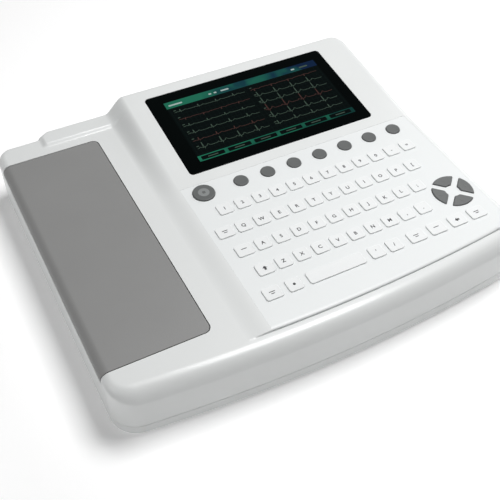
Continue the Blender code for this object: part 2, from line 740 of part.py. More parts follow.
tube_y("platen_roller", -ROLLER_HALF, ROLLER_HALF, ROLLER_R, SHAFT_R + GAP, ROLLER_X, ROLLER_Z, "rubber_black")
smooth(turned("platen_shaft", [(-116.0, SHAFT_R), (GEAR_Y1, SHAFT_R)], (ROLLER_X, 0.0, ROLLER_Z), "y", "steel",
              20, (ROLLER_X, 0.0, ROLLER_Z)))
gear("platen_gear", PLATEN_TEETH, -90.0, GEAR_Y0, GEAR_Y1, SHAFT_R + GAP, ROLLER_X, ROLLER_Z, "plastic_black")
PINION_Z = ROLLER_Z - GEAR_MODULE * (PLATEN_TEETH + PINION_TEETH) / 2.0
gear("motor_pinion", PINION_TEETH, 90.0 + 180.0 / PINION_TEETH, GEAR_Y0, GEAR_Y1, 1.5 + GAP, ROLLER_X, PINION_Z,
     "brass")
smooth(turned("paper_motor", [(119.5, 1.5), (GEAR_Y1 + 0.8, 1.5), (GEAR_Y1 + 0.8, 10.0), (148.0, 10.0)],
              (ROLLER_X, 0.0, PINION_Z), "y", "steel"))
bracket_loop = [(-6.0, -5.5), (5.0, -5.5), (5.0, DECK_Z - WALL - GAP - ROLLER_Z),
                (-6.0, DECK_Z - WALL - GAP - ROLLER_Z)]
for side, y0, y1 in (("front", -112.5, -109.0), ("back", 109.0, 112.5)):
    place = Matrix.Translation(Vector((ROLLER_X, 0.0, ROLLER_Z))) @ Matrix.Rotation(math.pi / 2, 4, "X")
    plate("roller_bracket_" + side, bracket_loop, [circle(0.0, 0.0, SHAFT_R + GAP, 16)], -y1, -y0, "steel", place)
HEAD_TOP = ROLLER_Z - ROLLER_R - GAP
block("print_head", (-194.0, -108.0, HEAD_TOP - 3.0), (-179.0, 108.0, HEAD_TOP), "plastic_black")
block("head_heatsink", (-193.0, -108.0, 24.0), (-180.0, 108.0, HEAD_TOP - 3.0 - GAP), "aluminium")

TRAY_X0, TRAY_X1, TRAY_Y = -172.0, -104.5, 116.0
TRAY_LOW, TRAY_HIGH = 6.3, 44.0
paper_tray = block("paper_tray", (TRAY_X0, -TRAY_Y, TRAY_LOW), (TRAY_X1, TRAY_Y, TRAY_HIGH), "plastic_black")
tray_space = block("cut_tray", (TRAY_X0 + 1.8, -TRAY_Y + 2.0, TRAY_LOW + 1.8),
                   (TRAY_X1 - 1.8, TRAY_Y - 2.0, TRAY_HIGH + 5.0))
boolean(paper_tray, tray_space, "DIFFERENCE")
tray_slot = block("cut_tray_slot", (PAPER_X - 4.3, -TRAY_Y - 5.0, PAPER_Z - 4.3),
                  (PAPER_X + 4.3, TRAY_Y + 5.0, TRAY_HIGH + 5.0))
boolean(paper_tray, tray_slot, "DIFFERENCE")
tube_y("paper_roll", -PAPER_HALF, PAPER_HALF, PAPER_R, CORE_R, PAPER_X, PAPER_Z, "paper_white", 32)
smooth(turned("paper_spindle", [(-TRAY_Y - 1.0, 4.0), (-110.0, 4.0), (-110.0, 11.0), (-PAPER_HALF - GAP, 11.0),
                                (-PAPER_HALF - GAP, CORE_R - GAP), (PAPER_HALF + GAP, CORE_R - GAP),
                                (PAPER_HALF + GAP, 11.0), (110.0, 11.0), (110.0, 4.0), (TRAY_Y + 1.0, 4.0)],
              (PAPER_X, 0.0, PAPER_Z), "y", "plastic_black", 24, (PAPER_X, 0.0, PAPER_Z)))

# ---------------------------------------------------------------- electronics

block("main_board", (-92.0, -130.0, 16.0), (176.0, 20.0, 17.6), "board_green")
block("power_supply", (-80.0, 50.0, 6.3), (40.0, 140.0, 40.0), "aluminium")
block("battery_pack", (66.0, 46.0, 6.3), (168.0, 118.0, 30.0), "battery_blue")

# ---------------------------------------------------------------- sockets


def back_box(name, width, tall, depth, mat):
    sx, sz = BACK_SOCKETS[name][0], BACK_SOCKETS[name][1]
    return block(name, (sx - width / 2, BACK_Y - depth, sz - tall / 2), (sx + width / 2, BACK_Y, sz + tall / 2), mat)


def back_cut(target, name, width, tall, depth):
    sx, sz = BACK_SOCKETS[target.name][0], BACK_SOCKETS[target.name][1]
    tool = block("cut_in_" + name, (sx - width / 2, BACK_Y - depth, sz - tall / 2),
                 (sx + width / 2, BACK_Y + 5.0, sz + tall / 2))
    return boolean(target, tool, "DIFFERENCE")


inlet = back_box("mains_inlet", 28.0, 21.0, 26.0, "plastic_black")
back_cut(inlet, "inlet", 24.0, 16.5, 18.0)
for k, (px, pz) in enumerate(((-7.0, -1.5), (0.0, 2.5), (7.0, -1.5))):
    sx, sz = BACK_SOCKETS["mains_inlet"][0] + px, BACK_SOCKETS["mains_inlet"][1] + pz
    pin = block("add_inlet_pin_%d" % k, (sx - 1.0, BACK_Y - 20.0, sz - 2.0), (sx + 1.0, BACK_Y - 5.0, sz + 2.0))
    boolean(inlet, pin, "UNION")
bezel = back_box("rocker_bezel", 16.0, 22.0, 14.0, "plastic_black")
back_cut(bezel, "bezel", 12.6, 18.6, 11.0)
lan = back_box("lan_port", 16.4, 14.0, 20.0, "steel")
back_cut(lan, "lan", 12.6, 9.0, 14.0)
usb = back_box("usb_port", 14.5, 7.2, 16.0, "steel")
back_cut(usb, "usb", 12.5, 5.2, 12.0)
tongue = block("add_usb_tongue", (48.0 - 5.5, BACK_Y - 14.0, 30.4), (48.0 + 5.5, BACK_Y - 1.5, 32.0))
boolean(usb, tongue, "UNION")

ROCKER_X, ROCKER_Z = BACK_SOCKETS["rocker_bezel"][0], BACK_SOCKETS["rocker_bezel"][1]
ROCKER_Y = BACK_Y - 6.5
rocker_points = [(-3.0, 2.2), (-3.0, -2.2), (3.2, -8.0), (4.6, -8.0), (2.9, 0.0), (5.6, 8.0), (3.4, 8.0)]
place = Matrix.Translation(Vector((ROCKER_X, ROCKER_Y, ROCKER_Z)))
rocker_loops = [[(w, y, z) for y, z in rocker_points] for w in (-6.0, 6.0)]
loft("power_rocker", rocker_loops, "button_grey", place, (ROCKER_X, ROCKER_Y, ROCKER_Z))

smooth(turned("ground_stud", [(BACK_Y - 14.0, 2.0), (BACK_Y - 4.0, 2.0), (BACK_Y - 0.3, 2.0), (BACK_Y, 1.7)],
              (STUD_X, 0.0, STUD_Z), "y", "brass", 16))
ecg = block("ecg_socket", (HALF_WIDTH - 14.0, ECG_Y - ECG_HALF, ECG_Z - 9.0),
            (HALF_WIDTH - 0.4, ECG_Y + ECG_HALF, ECG_Z + 9.0), "socket_grey")
ecg_loop = [(-17.0, -4.0), (17.0, -4.0), (19.0, 4.0), (-19.0, 4.0)]
ecg_ring = [(HALF_WIDTH + 3.0, ECG_Y + y, ECG_Z + z) for y, z in ecg_loop]
ecg_deep = [(HALF_WIDTH - 6.0, ECG_Y + y, ECG_Z + z) for y, z in ecg_loop]
boolean(ecg, loft("cut_ecg_mouth", [ecg_deep, ecg_ring]), "DIFFERENCE")
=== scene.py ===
"""The looks of the ECG machine: case, keypad, screen and printer over the CAD frame."""

import json
import math

import bpy
from mathutils import Matrix, Vector
from mathutils.geometry import delaunay_2d_cdt


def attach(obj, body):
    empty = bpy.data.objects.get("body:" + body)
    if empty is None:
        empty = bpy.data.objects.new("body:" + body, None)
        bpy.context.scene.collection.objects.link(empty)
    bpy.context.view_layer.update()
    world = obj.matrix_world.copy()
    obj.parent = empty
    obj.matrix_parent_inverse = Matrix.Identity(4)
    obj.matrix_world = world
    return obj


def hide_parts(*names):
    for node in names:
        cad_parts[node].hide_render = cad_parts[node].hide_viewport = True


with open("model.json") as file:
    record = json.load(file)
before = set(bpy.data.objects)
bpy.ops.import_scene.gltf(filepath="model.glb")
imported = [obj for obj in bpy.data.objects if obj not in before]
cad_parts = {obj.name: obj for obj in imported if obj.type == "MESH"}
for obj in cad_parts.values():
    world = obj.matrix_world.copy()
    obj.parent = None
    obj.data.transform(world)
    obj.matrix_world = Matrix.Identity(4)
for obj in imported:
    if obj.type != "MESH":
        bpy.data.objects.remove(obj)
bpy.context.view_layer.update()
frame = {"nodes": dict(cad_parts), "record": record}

MM = 0.001
GAP = 0.3
WALL = 3.0
HALF_WIDTH = 200.0
FRONT_Y = -171.75
BACK_Y = 171.75
FRONT_SAG = 13.2
FRONT_CORNER_R = 24.5
BACK_CORNER_R = 15.5
BACK_STEP = 6.25
BACK_STEP_X0 = -159.0
BACK_STEP_X1 = -143.0
ROLL_FRONT = 14.0
ROLL_SIDE = 8.0
ROLL_BACK = 6.0
BASE_BOTTOM = 3.0
PARTING_Z = 14.0
DECK_Z = 56.3
HUMP_RISE = 2.7
HUMP_Y = 147.0
HUMP_RAMP_Y = 5.0
HUMP_X = -156.0
HUMP_RAMP_X = 6.0
SLOPE_X0 = -84.0
SLOPE_X1 = -62.0
BEND_Y = 26.2
BEND_Z = 60.3
KEY_TILT = math.radians(0.66)
DISPLAY_TILT = math.radians(6.13)
GROOVE_Y = -154.6
GROOVE_SAG = 12.2
DOOR_X1 = -104.3
DOOR_Y0 = -129.8
DOOR_Y1 = 136.6
DOOR_EDGE_Z = 48.2
WALL_TOP_Z = 45.8
DOOR_CORNER_R = 6.0
DOOR_CLEAR = 0.8
HINGE_X = -112.3
HINGE_Z = 54.8
HINGE_HOLE_R = 1.1
HINGE_HOLES = ((-135.3, -121.7), (128.3, 142.3))
PANEL_X0 = -61.6
PANEL_X1 = 191.0
PANEL_Y1 = 27.2
PANEL_T = 3.0
PANEL_R = 12.0
PANEL_SEAT = 0.27
PANEL_LIP_DEPTH = 2.5
PANEL_EASE = 3.4
FRONT_STEPS = 48
KEY_PITCH = 18.35
KEY_W = 14.0
KEY_D = 13.4
KEY_R = 2.2
KEY_TOP = 1.0
KEY_FOOT = -3.4
CAP_FOOT = -4.3
ROW_Y = (-12.8, -39.5, -66.2, -92.9, -119.6)
FKEY_Y = 14.2
FKEY_R = 7.1
BIG_X = -43.3
BIG_R = 10.6
DPAD_X = 167.6
DPAD_Y = -86.8
DPAD_R = 19.8
DPAD_INNER_R = 7.4
DPAD_HALF_GAP = 3.0
SECTOR_STEPS = 16
ARROW_X = 14.6
GLASS_X0 = -44.4
GLASS_X1 = 160.9
GLASS_Y0 = 40.3
GLASS_Y1 = 154.6
GLASS_R = 4.0
UI_X0 = -28.5
UI_X1 = 148.5
UI_Y0 = 53.0
UI_Y1 = 141.9


# ---------------------------------------------------------------- materials

def new_material(name):
    made = bpy.data.materials.new(name)
    made.use_nodes = True
    return made, made.node_tree.nodes, made.node_tree.links


def plastic(name, colour, rough, grain=(1800.0, 0.05), vary=0.05, tint=0.03, metallic=0.0,
            coat=0.0, cloud=9.0):
    """Moulded surface: fine grain in the bump, slow drift in roughness and in tone."""
    made, nodes, links = new_material(name)
    shader = nodes["Principled BSDF"]
    shader.inputs["Metallic"].default_value = metallic
    shader.inputs["Coat Weight"].default_value = coat
    shader.inputs["Coat Roughness"].default_value = 0.12
    coords = nodes.new("ShaderNodeTexCoord")
    slow = nodes.new("ShaderNodeTexNoise")
    slow.inputs["Scale"].default_value = cloud
    slow.inputs["Detail"].default_value = 5.0
    links.new(coords.outputs["Object"], slow.inputs["Vector"])
    tone = nodes.new("ShaderNodeValToRGB")
    dark = [c * (1.0 - tint) for c in colour]
    tone.color_ramp.elements[0].position = 0.3
    tone.color_ramp.elements[0].color = (*dark, 1.0)
    tone.color_ramp.elements[1].position = 0.7
    tone.color_ramp.elements[1].color = (*colour, 1.0)
    links.new(slow.outputs["Fac"], tone.inputs["Fac"])
    links.new(tone.outputs["Color"], shader.inputs["Base Color"])
    drift = nodes.new("ShaderNodeMapRange")
    drift.inputs["To Min"].default_value = max(0.02, rough - vary)
    drift.inputs["To Max"].default_value = rough + vary
    links.new(slow.outputs["Fac"], drift.inputs["Value"])
    links.new(drift.outputs["Result"], shader.inputs["Roughness"])
    fine = nodes.new("ShaderNodeTexNoise")
    fine.inputs["Scale"].default_value = grain[0]
    fine.inputs["Detail"].default_value = 3.0
    links.new(coords.outputs["Object"], fine.inputs["Vector"])
    bump = nodes.new("ShaderNodeBump")
    bump.inputs["Strength"].default_value = grain[1]
    bump.inputs["Distance"].default_value = 0.0002
    links.new(fine.outputs["Fac"], bump.inputs["Height"])
    links.new(bump.outputs["Normal"], shader.inputs["Normal"])
    return made


def brushed(name, colour, rough, stretch):
    """Metal with fine lines along one axis."""
    made = plastic(name, colour, rough, (1.0, 0.12), 0.08, 0.08, 1.0)
    nodes, links = made.node_tree.nodes, made.node_tree.links
    coords = nodes.new("ShaderNodeTexCoord")
    mapping = nodes.new("ShaderNodeMapping")
    mapping.inputs["Scale"].default_value = stretch
    lines = nodes.new("ShaderNodeTexNoise")
    lines.inputs["Scale"].default_value = 1.0
    lines.inputs["Detail"].default_value = 4.0
    links.new(coords.outputs["Object"], mapping.inputs["Vector"])
    links.new(mapping.outputs["Vector"], lines.inputs["Vector"])
    bump = [n for n in nodes if n.type == "BUMP"][0]
    links.new(lines.outputs["Fac"], bump.inputs["Height"])
    return made


def glow(name, colour, strength, base=(0.002, 0.003, 0.003)):
    """A lit part of the screen under the gloss of its glass."""
    made = plastic(name, base, 0.07, (60.0, 0.01), 0.02, 0.1)
    shader = made.node_tree.nodes["Principled BSDF"]
    shader.inputs["Specular IOR Level"].default_value = 0.12
    shader.inputs["Emission Color"].default_value = (*colour, 1.0)
    shader.inputs["Emission Strength"].default_value = strength
    return made


WHITE = plastic("m_case", (0.755, 0.77, 0.765), 0.34, (1500.0, 0.10), 0.05, 0.02, coat=0.2)
PANEL = plastic("m_panel", (0.79, 0.81, 0.81), 0.40, (2600.0, 0.08), 0.05, 0.015)
KEYS_M = plastic("m_keys", (0.81, 0.825, 0.825), 0.48, (3200.0, 0.10), 0.05, 0.02)
GREY = plastic("m_door", (0.265, 0.265, 0.262), 0.46, (1100.0, 0.35), 0.06, 0.06)
BUTTON = plastic("m_button", (0.118, 0.124, 0.123), 0.45, (2400.0, 0.15), 0.05, 0.06)
BUTTON_TOP = plastic("m_button_top", (0.24, 0.25, 0.25), 0.45, (2400.0, 0.12), 0.05, 0.06)
GLASS = plastic("m_glass", (0.002, 0.003, 0.003), 0.06, (30.0, 0.008), 0.02, 0.2)
GLASS.node_tree.nodes["Principled BSDF"].inputs["Specular IOR Level"].default_value = 0.12
RUBBER = plastic("m_rubber", (0.028, 0.028, 0.028), 0.78, (900.0, 0.6), 0.08, 0.2)
BLACK = plastic("m_black", (0.035, 0.035, 0.037), 0.45, (1400.0, 0.3), 0.08, 0.15)
STEEL = brushed("m_steel", (0.55, 0.56, 0.57), 0.32, (4000.0, 60.0, 4000.0))
ALUMINIUM = brushed("m_aluminium", (0.70, 0.71, 0.72), 0.38, (60.0, 3000.0, 3000.0))
BRASS = brushed("m_brass", (0.70, 0.50, 0.22), 0.30, (3000.0, 80.0, 3000.0))
PAPER = plastic("m_paper", (0.86, 0.84, 0.81), 0.85, (2500.0, 0.4), 0.05, 0.03)
BOARD = plastic("m_board", (0.02, 0.16, 0.07), 0.42, (700.0, 0.3), 0.08, 0.3, cloud=90.0)
BATTERY = plastic("m_battery", (0.05, 0.11, 0.34), 0.4, (500.0, 0.2), 0.08, 0.15)
SOCKET = plastic("m_socket", (0.30, 0.30, 0.31), 0.45, (1400.0, 0.2), 0.06, 0.1)
INK = plastic("m_ink", (0.045, 0.045, 0.05), 0.5, (2000.0, 0.1), 0.05, 0.2)


# ---------------------------------------------------------------- meshes

def make(name, verts, faces, mat, place=None):
    points = [Vector(v) for v in verts]
    if place is not None:
        points = [place @ p for p in points]
    mesh = bpy.data.meshes.new(name)
    mesh.from_pydata([p * MM for p in points], [], faces)
    mesh.validate()
    obj = bpy.data.objects.new(name, mesh)
    bpy.context.scene.collection.objects.link(obj)
    mesh.materials.append(mat)
    return obj


def smooth(obj, degrees=35.0):
    for polygon in obj.data.polygons:
        polygon.use_smooth = True
    obj.data.set_sharp_from_angle(angle=math.radians(degrees))
    return obj


def even_normals(obj):
    mod = obj.modifiers.new("Normals", "WEIGHTED_NORMAL")
    mod.keep_sharp = True
    mod.weight = 90
    return obj


def soften(obj, width, segments=2, degrees=50.0):
    mod = obj.modifiers.new("Edges", "BEVEL")
    mod.width = width * MM
    mod.segments = segments
    mod.limit_method = "ANGLE"
    mod.angle_limit = math.radians(degrees)
    mod.harden_normals = False
    return obj


def bake(obj):
    """The object's modifiers become its mesh."""
    depsgraph = bpy.context.evaluated_depsgraph_get()
    mesh = bpy.data.meshes.new_from_object(obj.evaluated_get(depsgraph))
    obj.modifiers.clear()
    obj.data = mesh
    return obj


def boolean(target, tool, operation):
    mod = target.modifiers.new(operation.title(), "BOOLEAN")
    mod.operation = operation
    mod.object = tool
    mod.solver = "EXACT"
    bake(target)
    bpy.data.objects.remove(tool, do_unlink=True)
    return target


def loft(name, loops, mat, place=None):
    count = len(loops[0])
    verts = [p for ring in loops for p in ring]
    faces = [tuple(reversed(range(count)))]
    for k in range(len(loops) - 1):
        for i in range(count):
            j = (i + 1) % count
            a = k * count
            faces.append((a + i, a + j, a + count + j, a + count + i))
    top = (len(loops) - 1) * count
    faces.append(tuple(top + i for i in range(count)))
    return make(name, verts, faces, mat, place)


def circle(cx, cy, radius, count=64):
    return [(cx + radius * math.cos(2 * math.pi * k / count),
             cy + radius * math.sin(2 * math.pi * k / count)) for k in range(count)]


def rounded(x0, y0, x1, y1, radius, steps=6):
    points = []
    corners = ((x1 - radius, y0 + radius, -90), (x1 - radius, y1 - radius, 0),
               (x0 + radius, y1 - radius, 90), (x0 + radius, y0 + radius, 180))
    for cx, cy, start in corners:
        for k in range(steps + 1):
            angle = math.radians(start + 90.0 * k / steps)
            points.append((cx + radius * math.cos(angle), cy + radius * math.sin(angle)))
    return points


def at(loop, w):
    return [(x, y, w) for x, y in loop]


def inside(x, y, loop):
    hit = False
    count = len(loop)
    for i in range(count):
        x0, y0 = loop[i][0], loop[i][1]
        x1, y1 = loop[(i + 1) % count][0], loop[(i + 1) % count][1]
        if (y0 > y) != (y1 > y):
            if x < x0 + (y - y0) * (x1 - x0) / (y1 - y0):
                hit = not hit
    return hit


def fill(outer, holes=(), lines=()):
    points = []
    edges = []
    for loop in (outer, *holes):
        start = len(points)
        points += [Vector((p[0], p[1])) for p in loop]
        edges += [(start + i, start + (i + 1) % len(loop)) for i in range(len(loop))]
    for line in lines:
        start = len(points)
        points += [Vector((p[0], p[1])) for p in line]
        edges += [(start + i, start + i + 1) for i in range(len(line) - 1)]
    out = delaunay_2d_cdt(points, edges, [], 0, 1e-5, True)
    flat, triangles, origins = out[0], out[2], out[3]
    index = []
    for spot, source in zip(flat, origins):
        if source:
            index.append(source[0])
        else:
            index.append(len(points))
            points.append(spot)
    boxes = [(min(p[0] for p in h), min(p[1] for p in h),
              max(p[0] for p in h), max(p[1] for p in h), h) for h in holes]
    kept = []
    for tri in triangles:
        cx = sum(flat[i].x for i in tri) / 3.0
        cy = sum(flat[i].y for i in tri) / 3.0
        if not inside(cx, cy, outer):
            continue
        if any(b[0] < cx < b[2] and b[1] < cy < b[3] and inside(cx, cy, b[4]) for b in boxes):
            continue
        kept.append(tuple(index[i] for i in tri))
    return points, kept


def plate(name, outer, holes, w0, w1, mat, place=None):
    points, triangles = fill(outer, holes)
    count = len(points)
    verts = [(p.x, p.y, w0) for p in points] + [(p.x, p.y, w1) for p in points]
    faces = [tuple(reversed(t)) for t in triangles]
    faces += [tuple(count + i for i in t) for t in triangles]
    start = 0
    for number, loop in enumerate((outer, *holes)):
        size = len(loop)
        for i in range(size):
            a = start + i
            b = start + (i + 1) % size
            side = (a, b, count + b, count + a)
            faces.append(side if number == 0 else tuple(reversed(side)))
        start += size
    return make(name, verts, faces, mat, place)


def block(name, low, high, mat, place=None):
    loop = [(low[0], low[1]), (high[0], low[1]), (high[0], high[1]), (low[0], high[1])]
    return loft(name, [at(loop, low[2]), at(loop, high[2])], mat, place)


def turned(name, profile, centre, axis, mat, count=48):
    turn = {"x": Matrix.Rotation(math.pi / 2, 4, "Y"),
            "y": Matrix.Rotation(-math.pi / 2, 4, "X"),
            "z": Matrix.Identity(4)}[axis]
    place = Matrix.Translation(Vector(centre)) @ turn
    rings = [at(circle(0.0, 0.0, radius, count), along) for along, radius in profile]
    return loft(name, rings, mat, place)


def joined(name, parts):
    """Several meshes become one object; each keeps its material."""
    for o in bpy.context.selected_objects:
        o.select_set(False)
    for part in parts:
        part.select_set(True)
    bpy.context.view_layer.objects.active = parts[0]
    bpy.ops.object.join()
    parts[0].name = name
    parts[0].data.name = name
    return parts[0]


# ---------------------------------------------------------------- casing form

def ease(t):
    t = min(1.0, max(0.0, t))
    return t * t * (3.0 - 2.0 * t)


def front_y(x):
    return FRONT_Y + FRONT_SAG * (x / HALF_WIDTH) ** 2


def groove_y(x):
    return GROOVE_Y + GROOVE_SAG * (x / HALF_WIDTH) ** 2


def console_z(y):
    tilt = KEY_TILT if y < BEND_Y else DISPLAY_TILT
    return BEND_Z + (y - BEND_Y) * math.tan(tilt)


def height(x, y):
    if y < groove_y(x):
        return DECK_Z
    low = DECK_Z + HUMP_RISE * ease((y - HUMP_Y) / HUMP_RAMP_Y) * ease((x - HUMP_X) / HUMP_RAMP_X)
    return low + (console_z(y) - low) * ease((x - SLOPE_X0) / (SLOPE_X1 - SLOPE_X0))


def unit(x, y):
    length = math.hypot(x, y)
    return x / length, y / length


def outline():
    points = []
    cx = HALF_WIDTH - FRONT_CORNER_R
    nx, ny = unit(2.0 * FRONT_SAG * cx / HALF_WIDTH ** 2, -1.0)
    end_x = cx + FRONT_CORNER_R * nx
    cy = front_y(end_x) - FRONT_CORNER_R * ny
    for k in range(61):
        x = end_x * (2.0 * k / 60 - 1.0)
        points.append((x, front_y(x), *unit(2.0 * FRONT_SAG * x / HALF_WIDTH ** 2, -1.0)))
    start = math.atan2(ny, nx)
    for k in range(1, 21):
        angle = start * (1.0 - k / 20.0)
        c, s = math.cos(angle), math.sin(angle)
        points.append((cx + FRONT_CORNER_R * c, cy + FRONT_CORNER_R * s, c, s))
    for y in (-110.0, -80.0, -45.0, -10.0, 12.0, 26.2, 40.0, 70.0, 105.0, 135.0):
        points.append((HALF_WIDTH, y, 1.0, 0.0))
    for side in (1, -1):
        back = BACK_Y if side > 0 else BACK_Y - BACK_STEP
        bx = side * (HALF_WIDTH - BACK_CORNER_R)
        for k in range(17):
            angle = math.radians(5.625 * k) if side > 0 else math.radians(90.0 + 5.625 * k)
            c, s = math.cos(angle), math.sin(angle)
            points.append((bx + BACK_CORNER_R * c, back - BACK_CORNER_R + BACK_CORNER_R * s, c, s))
        if side > 0:
            for x in (150.0, 110.0, 70.0, 30.0, -10.0, -40.0):
                points.append((x, BACK_Y, 0.0, 1.0))
            for k in range(25):
                points.append((SLOPE_X1 + (SLOPE_X0 - SLOPE_X1) * k / 24.0, BACK_Y, 0.0, 1.0))
            points.append((-115.0, BACK_Y, 0.0, 1.0))
            for k in range(25):
                t = k / 24.0
                x = BACK_STEP_X1 + t * (BACK_STEP_X0 - BACK_STEP_X1)
                y = BACK_Y - BACK_STEP * 0.5 * (1.0 - math.cos(math.pi * t))
                slope = BACK_STEP * 0.5 * math.pi * math.sin(math.pi * t) / (BACK_STEP_X1 - BACK_STEP_X0)
                points.append((x, y, *unit(-slope, 1.0)))
    for y in (110.0, 60.0, 0.0, -60.0, -110.0):
        points.append((-HALF_WIDTH, y, -1.0, 0.0))
    for k in range(20):
        angle = math.pi - start * k / 20.0
        c, s = math.cos(angle), math.sin(angle)
        points.append((-cx + FRONT_CORNER_R * c, cy + FRONT_CORNER_R * s, c, s))
    return points


def roll_radius(ny):
    front = (ROLL_FRONT - ROLL_SIDE) * max(0.0, -ny) ** 2
    back = (ROLL_BACK - ROLL_SIDE) * max(0.0, ny) ** 2
    return ROLL_SIDE + front + back


def groove_lines(x0, x1, offset, count=48):
    return [(x0 + (x1 - x0) * k / count, groove_y(x0 + (x1 - x0) * k / count) + offset)
            for k in range(count + 1)]


def casing_block(name, inset, z_low, steps, mat):
    rim = outline()
    rings = []
    for k in range(steps + 1):
        angle = math.radians(90.0 * k / steps)
        ring = []
        for x, y, nx, ny in rim:
            radius = roll_radius(ny) - inset
            top = height(x - nx * (inset + radius), y - ny * (inset + radius)) - inset
            shift = inset + radius * (1.0 - math.sin(angle))
            drop = radius * (1.0 - math.cos(angle))
            ring.append((x - nx * shift, y - ny * shift, top - drop))
        rings.append(ring)
    rings.append([(p[0], p[1], z_low) for p in rings[-1]])
    loop = rings[0]
    creases = []
    stations = [-150.0, -120.0, -90.0, -60.0, -30.0, 0.0, 15.0, BEND_Y, 40.0, 70.0, 100.0, 130.0]
    stations += [HUMP_Y + HUMP_RAMP_Y * k / 10 for k in range(11)] + [158.0, BACK_Y - 7.0]
    for k in range(25):
        x = SLOPE_X0 + k / 24.0 * (SLOPE_X1 - SLOPE_X0)
        creases.append([(x, groove_y(x) + 0.6)] + [(x, y) for y in stations if y > groove_y(x) + 1.0])
    creases.append([(SLOPE_X1, BEND_Y), (60.0, BEND_Y), (HALF_WIDTH - 8.5, BEND_Y)])
    creases.append(groove_lines(SLOPE_X0, HALF_WIDTH - 18.0, -0.1))
    creases.append(groove_lines(SLOPE_X0, HALF_WIDTH - 18.0, 0.6))
    for k in range(11):
        y = HUMP_Y + HUMP_RAMP_Y * k / 10
        creases.append([(HUMP_X - 1.0 + 7.0 * j / 8, y) for j in range(9)] + [(SLOPE_X0, y)])
    for k in range(9):
        x = HUMP_X + HUMP_RAMP_X * k / 8
        creases.append([(x, HUMP_Y - 0.5), (x, 155.0), (x, 158.5)])
    points, triangles = fill(loop, (), creases)
    count = len(loop)
    verts = [(p.x, p.y, loop[i][2] if i < count else height(p.x, p.y) - inset)
             for i, p in enumerate(points)]
    faces = list(triangles)
    previous = list(range(count))
    for ring in rings[1:]:
        start = len(verts)
        verts += ring
        now = list(range(start, start + count))
        for i in range(count):
            j = (i + 1) % count
            faces.append((previous[i], now[i], now[j], previous[j]))
        previous = now
    faces.append(tuple(reversed(previous)))
    return make(name, verts, faces, mat)


KEYS = Matrix.Translation(Vector((0.0, BEND_Y, BEND_Z))) @ Matrix.Rotation(KEY_TILT, 4, "X")
SCREEN = Matrix.Translation(Vector((0.0, BEND_Y, BEND_Z))) @ Matrix.Rotation(DISPLAY_TILT, 4, "X")


def panel_outline(grow):
    x0 = PANEL_X0 - grow
    x1 = PANEL_X1 + grow
    back = PANEL_Y1 - BEND_Y + grow
    radius = PANEL_R + grow
    cx = x1 - radius
    cy = groove_y(cx) + GAP - grow - BEND_Y + radius
    front = [x0 + (cx - x0) * k / FRONT_STEPS for k in range(FRONT_STEPS)]
    front = [(x, groove_y(x) + GAP - grow - BEND_Y) for x in front]
    corner = [math.radians(-90.0 + 5.0 * k) for k in range(19)]
    corner = [(cx + radius * math.cos(a), cy + radius * math.sin(a)) for a in corner]
    return front + corner + [(x1, back), (x0, back)]


def door_outline(grow):
    radius = DOOR_CORNER_R + grow
    x1 = DOOR_X1 + grow
    y0 = DOOR_Y0 - grow
    y1 = DOOR_Y1 + grow
    points = [(-HALF_WIDTH - 10.0, y1), (-HALF_WIDTH - 10.0, y0)]
    for cx, cy, start in ((x1 - radius, y0 + radius, -90.0), (x1 - radius, y1 - radius, 0.0)):
        for k in range(11):
            angle = math.radians(start + 9.0 * k)
            points.append((cx + radius * math.cos(angle), cy + radius * math.sin(angle)))
    return points


BOSSES = ((-150.0, -145.0, 54.5), (150.0, -154.5, 52.9), (-125.0, 150.0, 56.2), (188.0, 150.0, 72.0))
BACK_SOCKETS = {
    "mains_inlet": (150.0, 36.0, 28.0, 21.0),
    "rocker_bezel": (118.0, 36.0, 16.0, 22.0),
    "lan_port": (72.0, 30.0, 16.4, 14.0),
    "usb_port": (48.0, 30.0, 14.5, 7.2),
}
ECG_Y, ECG_Z, ECG_HALF = -40.0, 34.0, 26.0
ECG_HALF_Z = 9.0
STUD_X, STUD_Z = 176.0, 30.0
LID_X0, LID_Y0, LID_X1, LID_Y1 = 62.0, 42.0, 172.0, 122.0
LID_R = 4.0
PILOT_R = 1.9


# ---------------------------------------------------------------- upper case and door


def bore_hinge(obj):
    """The two holes the hinge pins sit in."""
    for y0, y1 in HINGE_HOLES:
        pin = turned("pin_hole", [(y0, HINGE_HOLE_R), (y1, HINGE_HOLE_R)],
                     (HINGE_X, 0.0, HINGE_Z), "y", WHITE, 24)
        boolean(obj, pin, "DIFFERENCE")


case_top = casing_block("case_top", 0.0, PARTING_Z + 0.2, 12, WHITE)
boolean(case_top, casing_block("cut_hollow", WALL, 4.0, 3, WHITE), "DIFFERENCE")
for bx, by, top in BOSSES:
    boss = turned("boss", [(6.3, 4.5), (top, 4.5)], (bx, by, 0.0), "z", WHITE, 32)
    boolean(case_top, boss, "UNION")
    pilot = turned("pilot", [(0.0, PILOT_R), (22.0, PILOT_R)], (bx, by, 0.0), "z", WHITE, 24)
    boolean(case_top, pilot, "DIFFERENCE")
window = panel_outline(GAP)
boolean(case_top, loft("window", [at(window, -14.0), at(window, 10.0)], WHITE, KEYS), "DIFFERENCE")
window = rounded(GLASS_X0 - GAP, GLASS_Y0 - BEND_Y - GAP,
                 GLASS_X1 + GAP, GLASS_Y1 - BEND_Y + GAP, GLASS_R + GAP)
boolean(case_top, loft("window", [at(window, -14.0), at(window, 10.0)], WHITE, SCREEN), "DIFFERENCE")
window = door_outline(DOOR_CLEAR)
boolean(case_top, loft("window", [at(window, WALL_TOP_Z), at(window, 80.0)], WHITE), "DIFFERENCE")
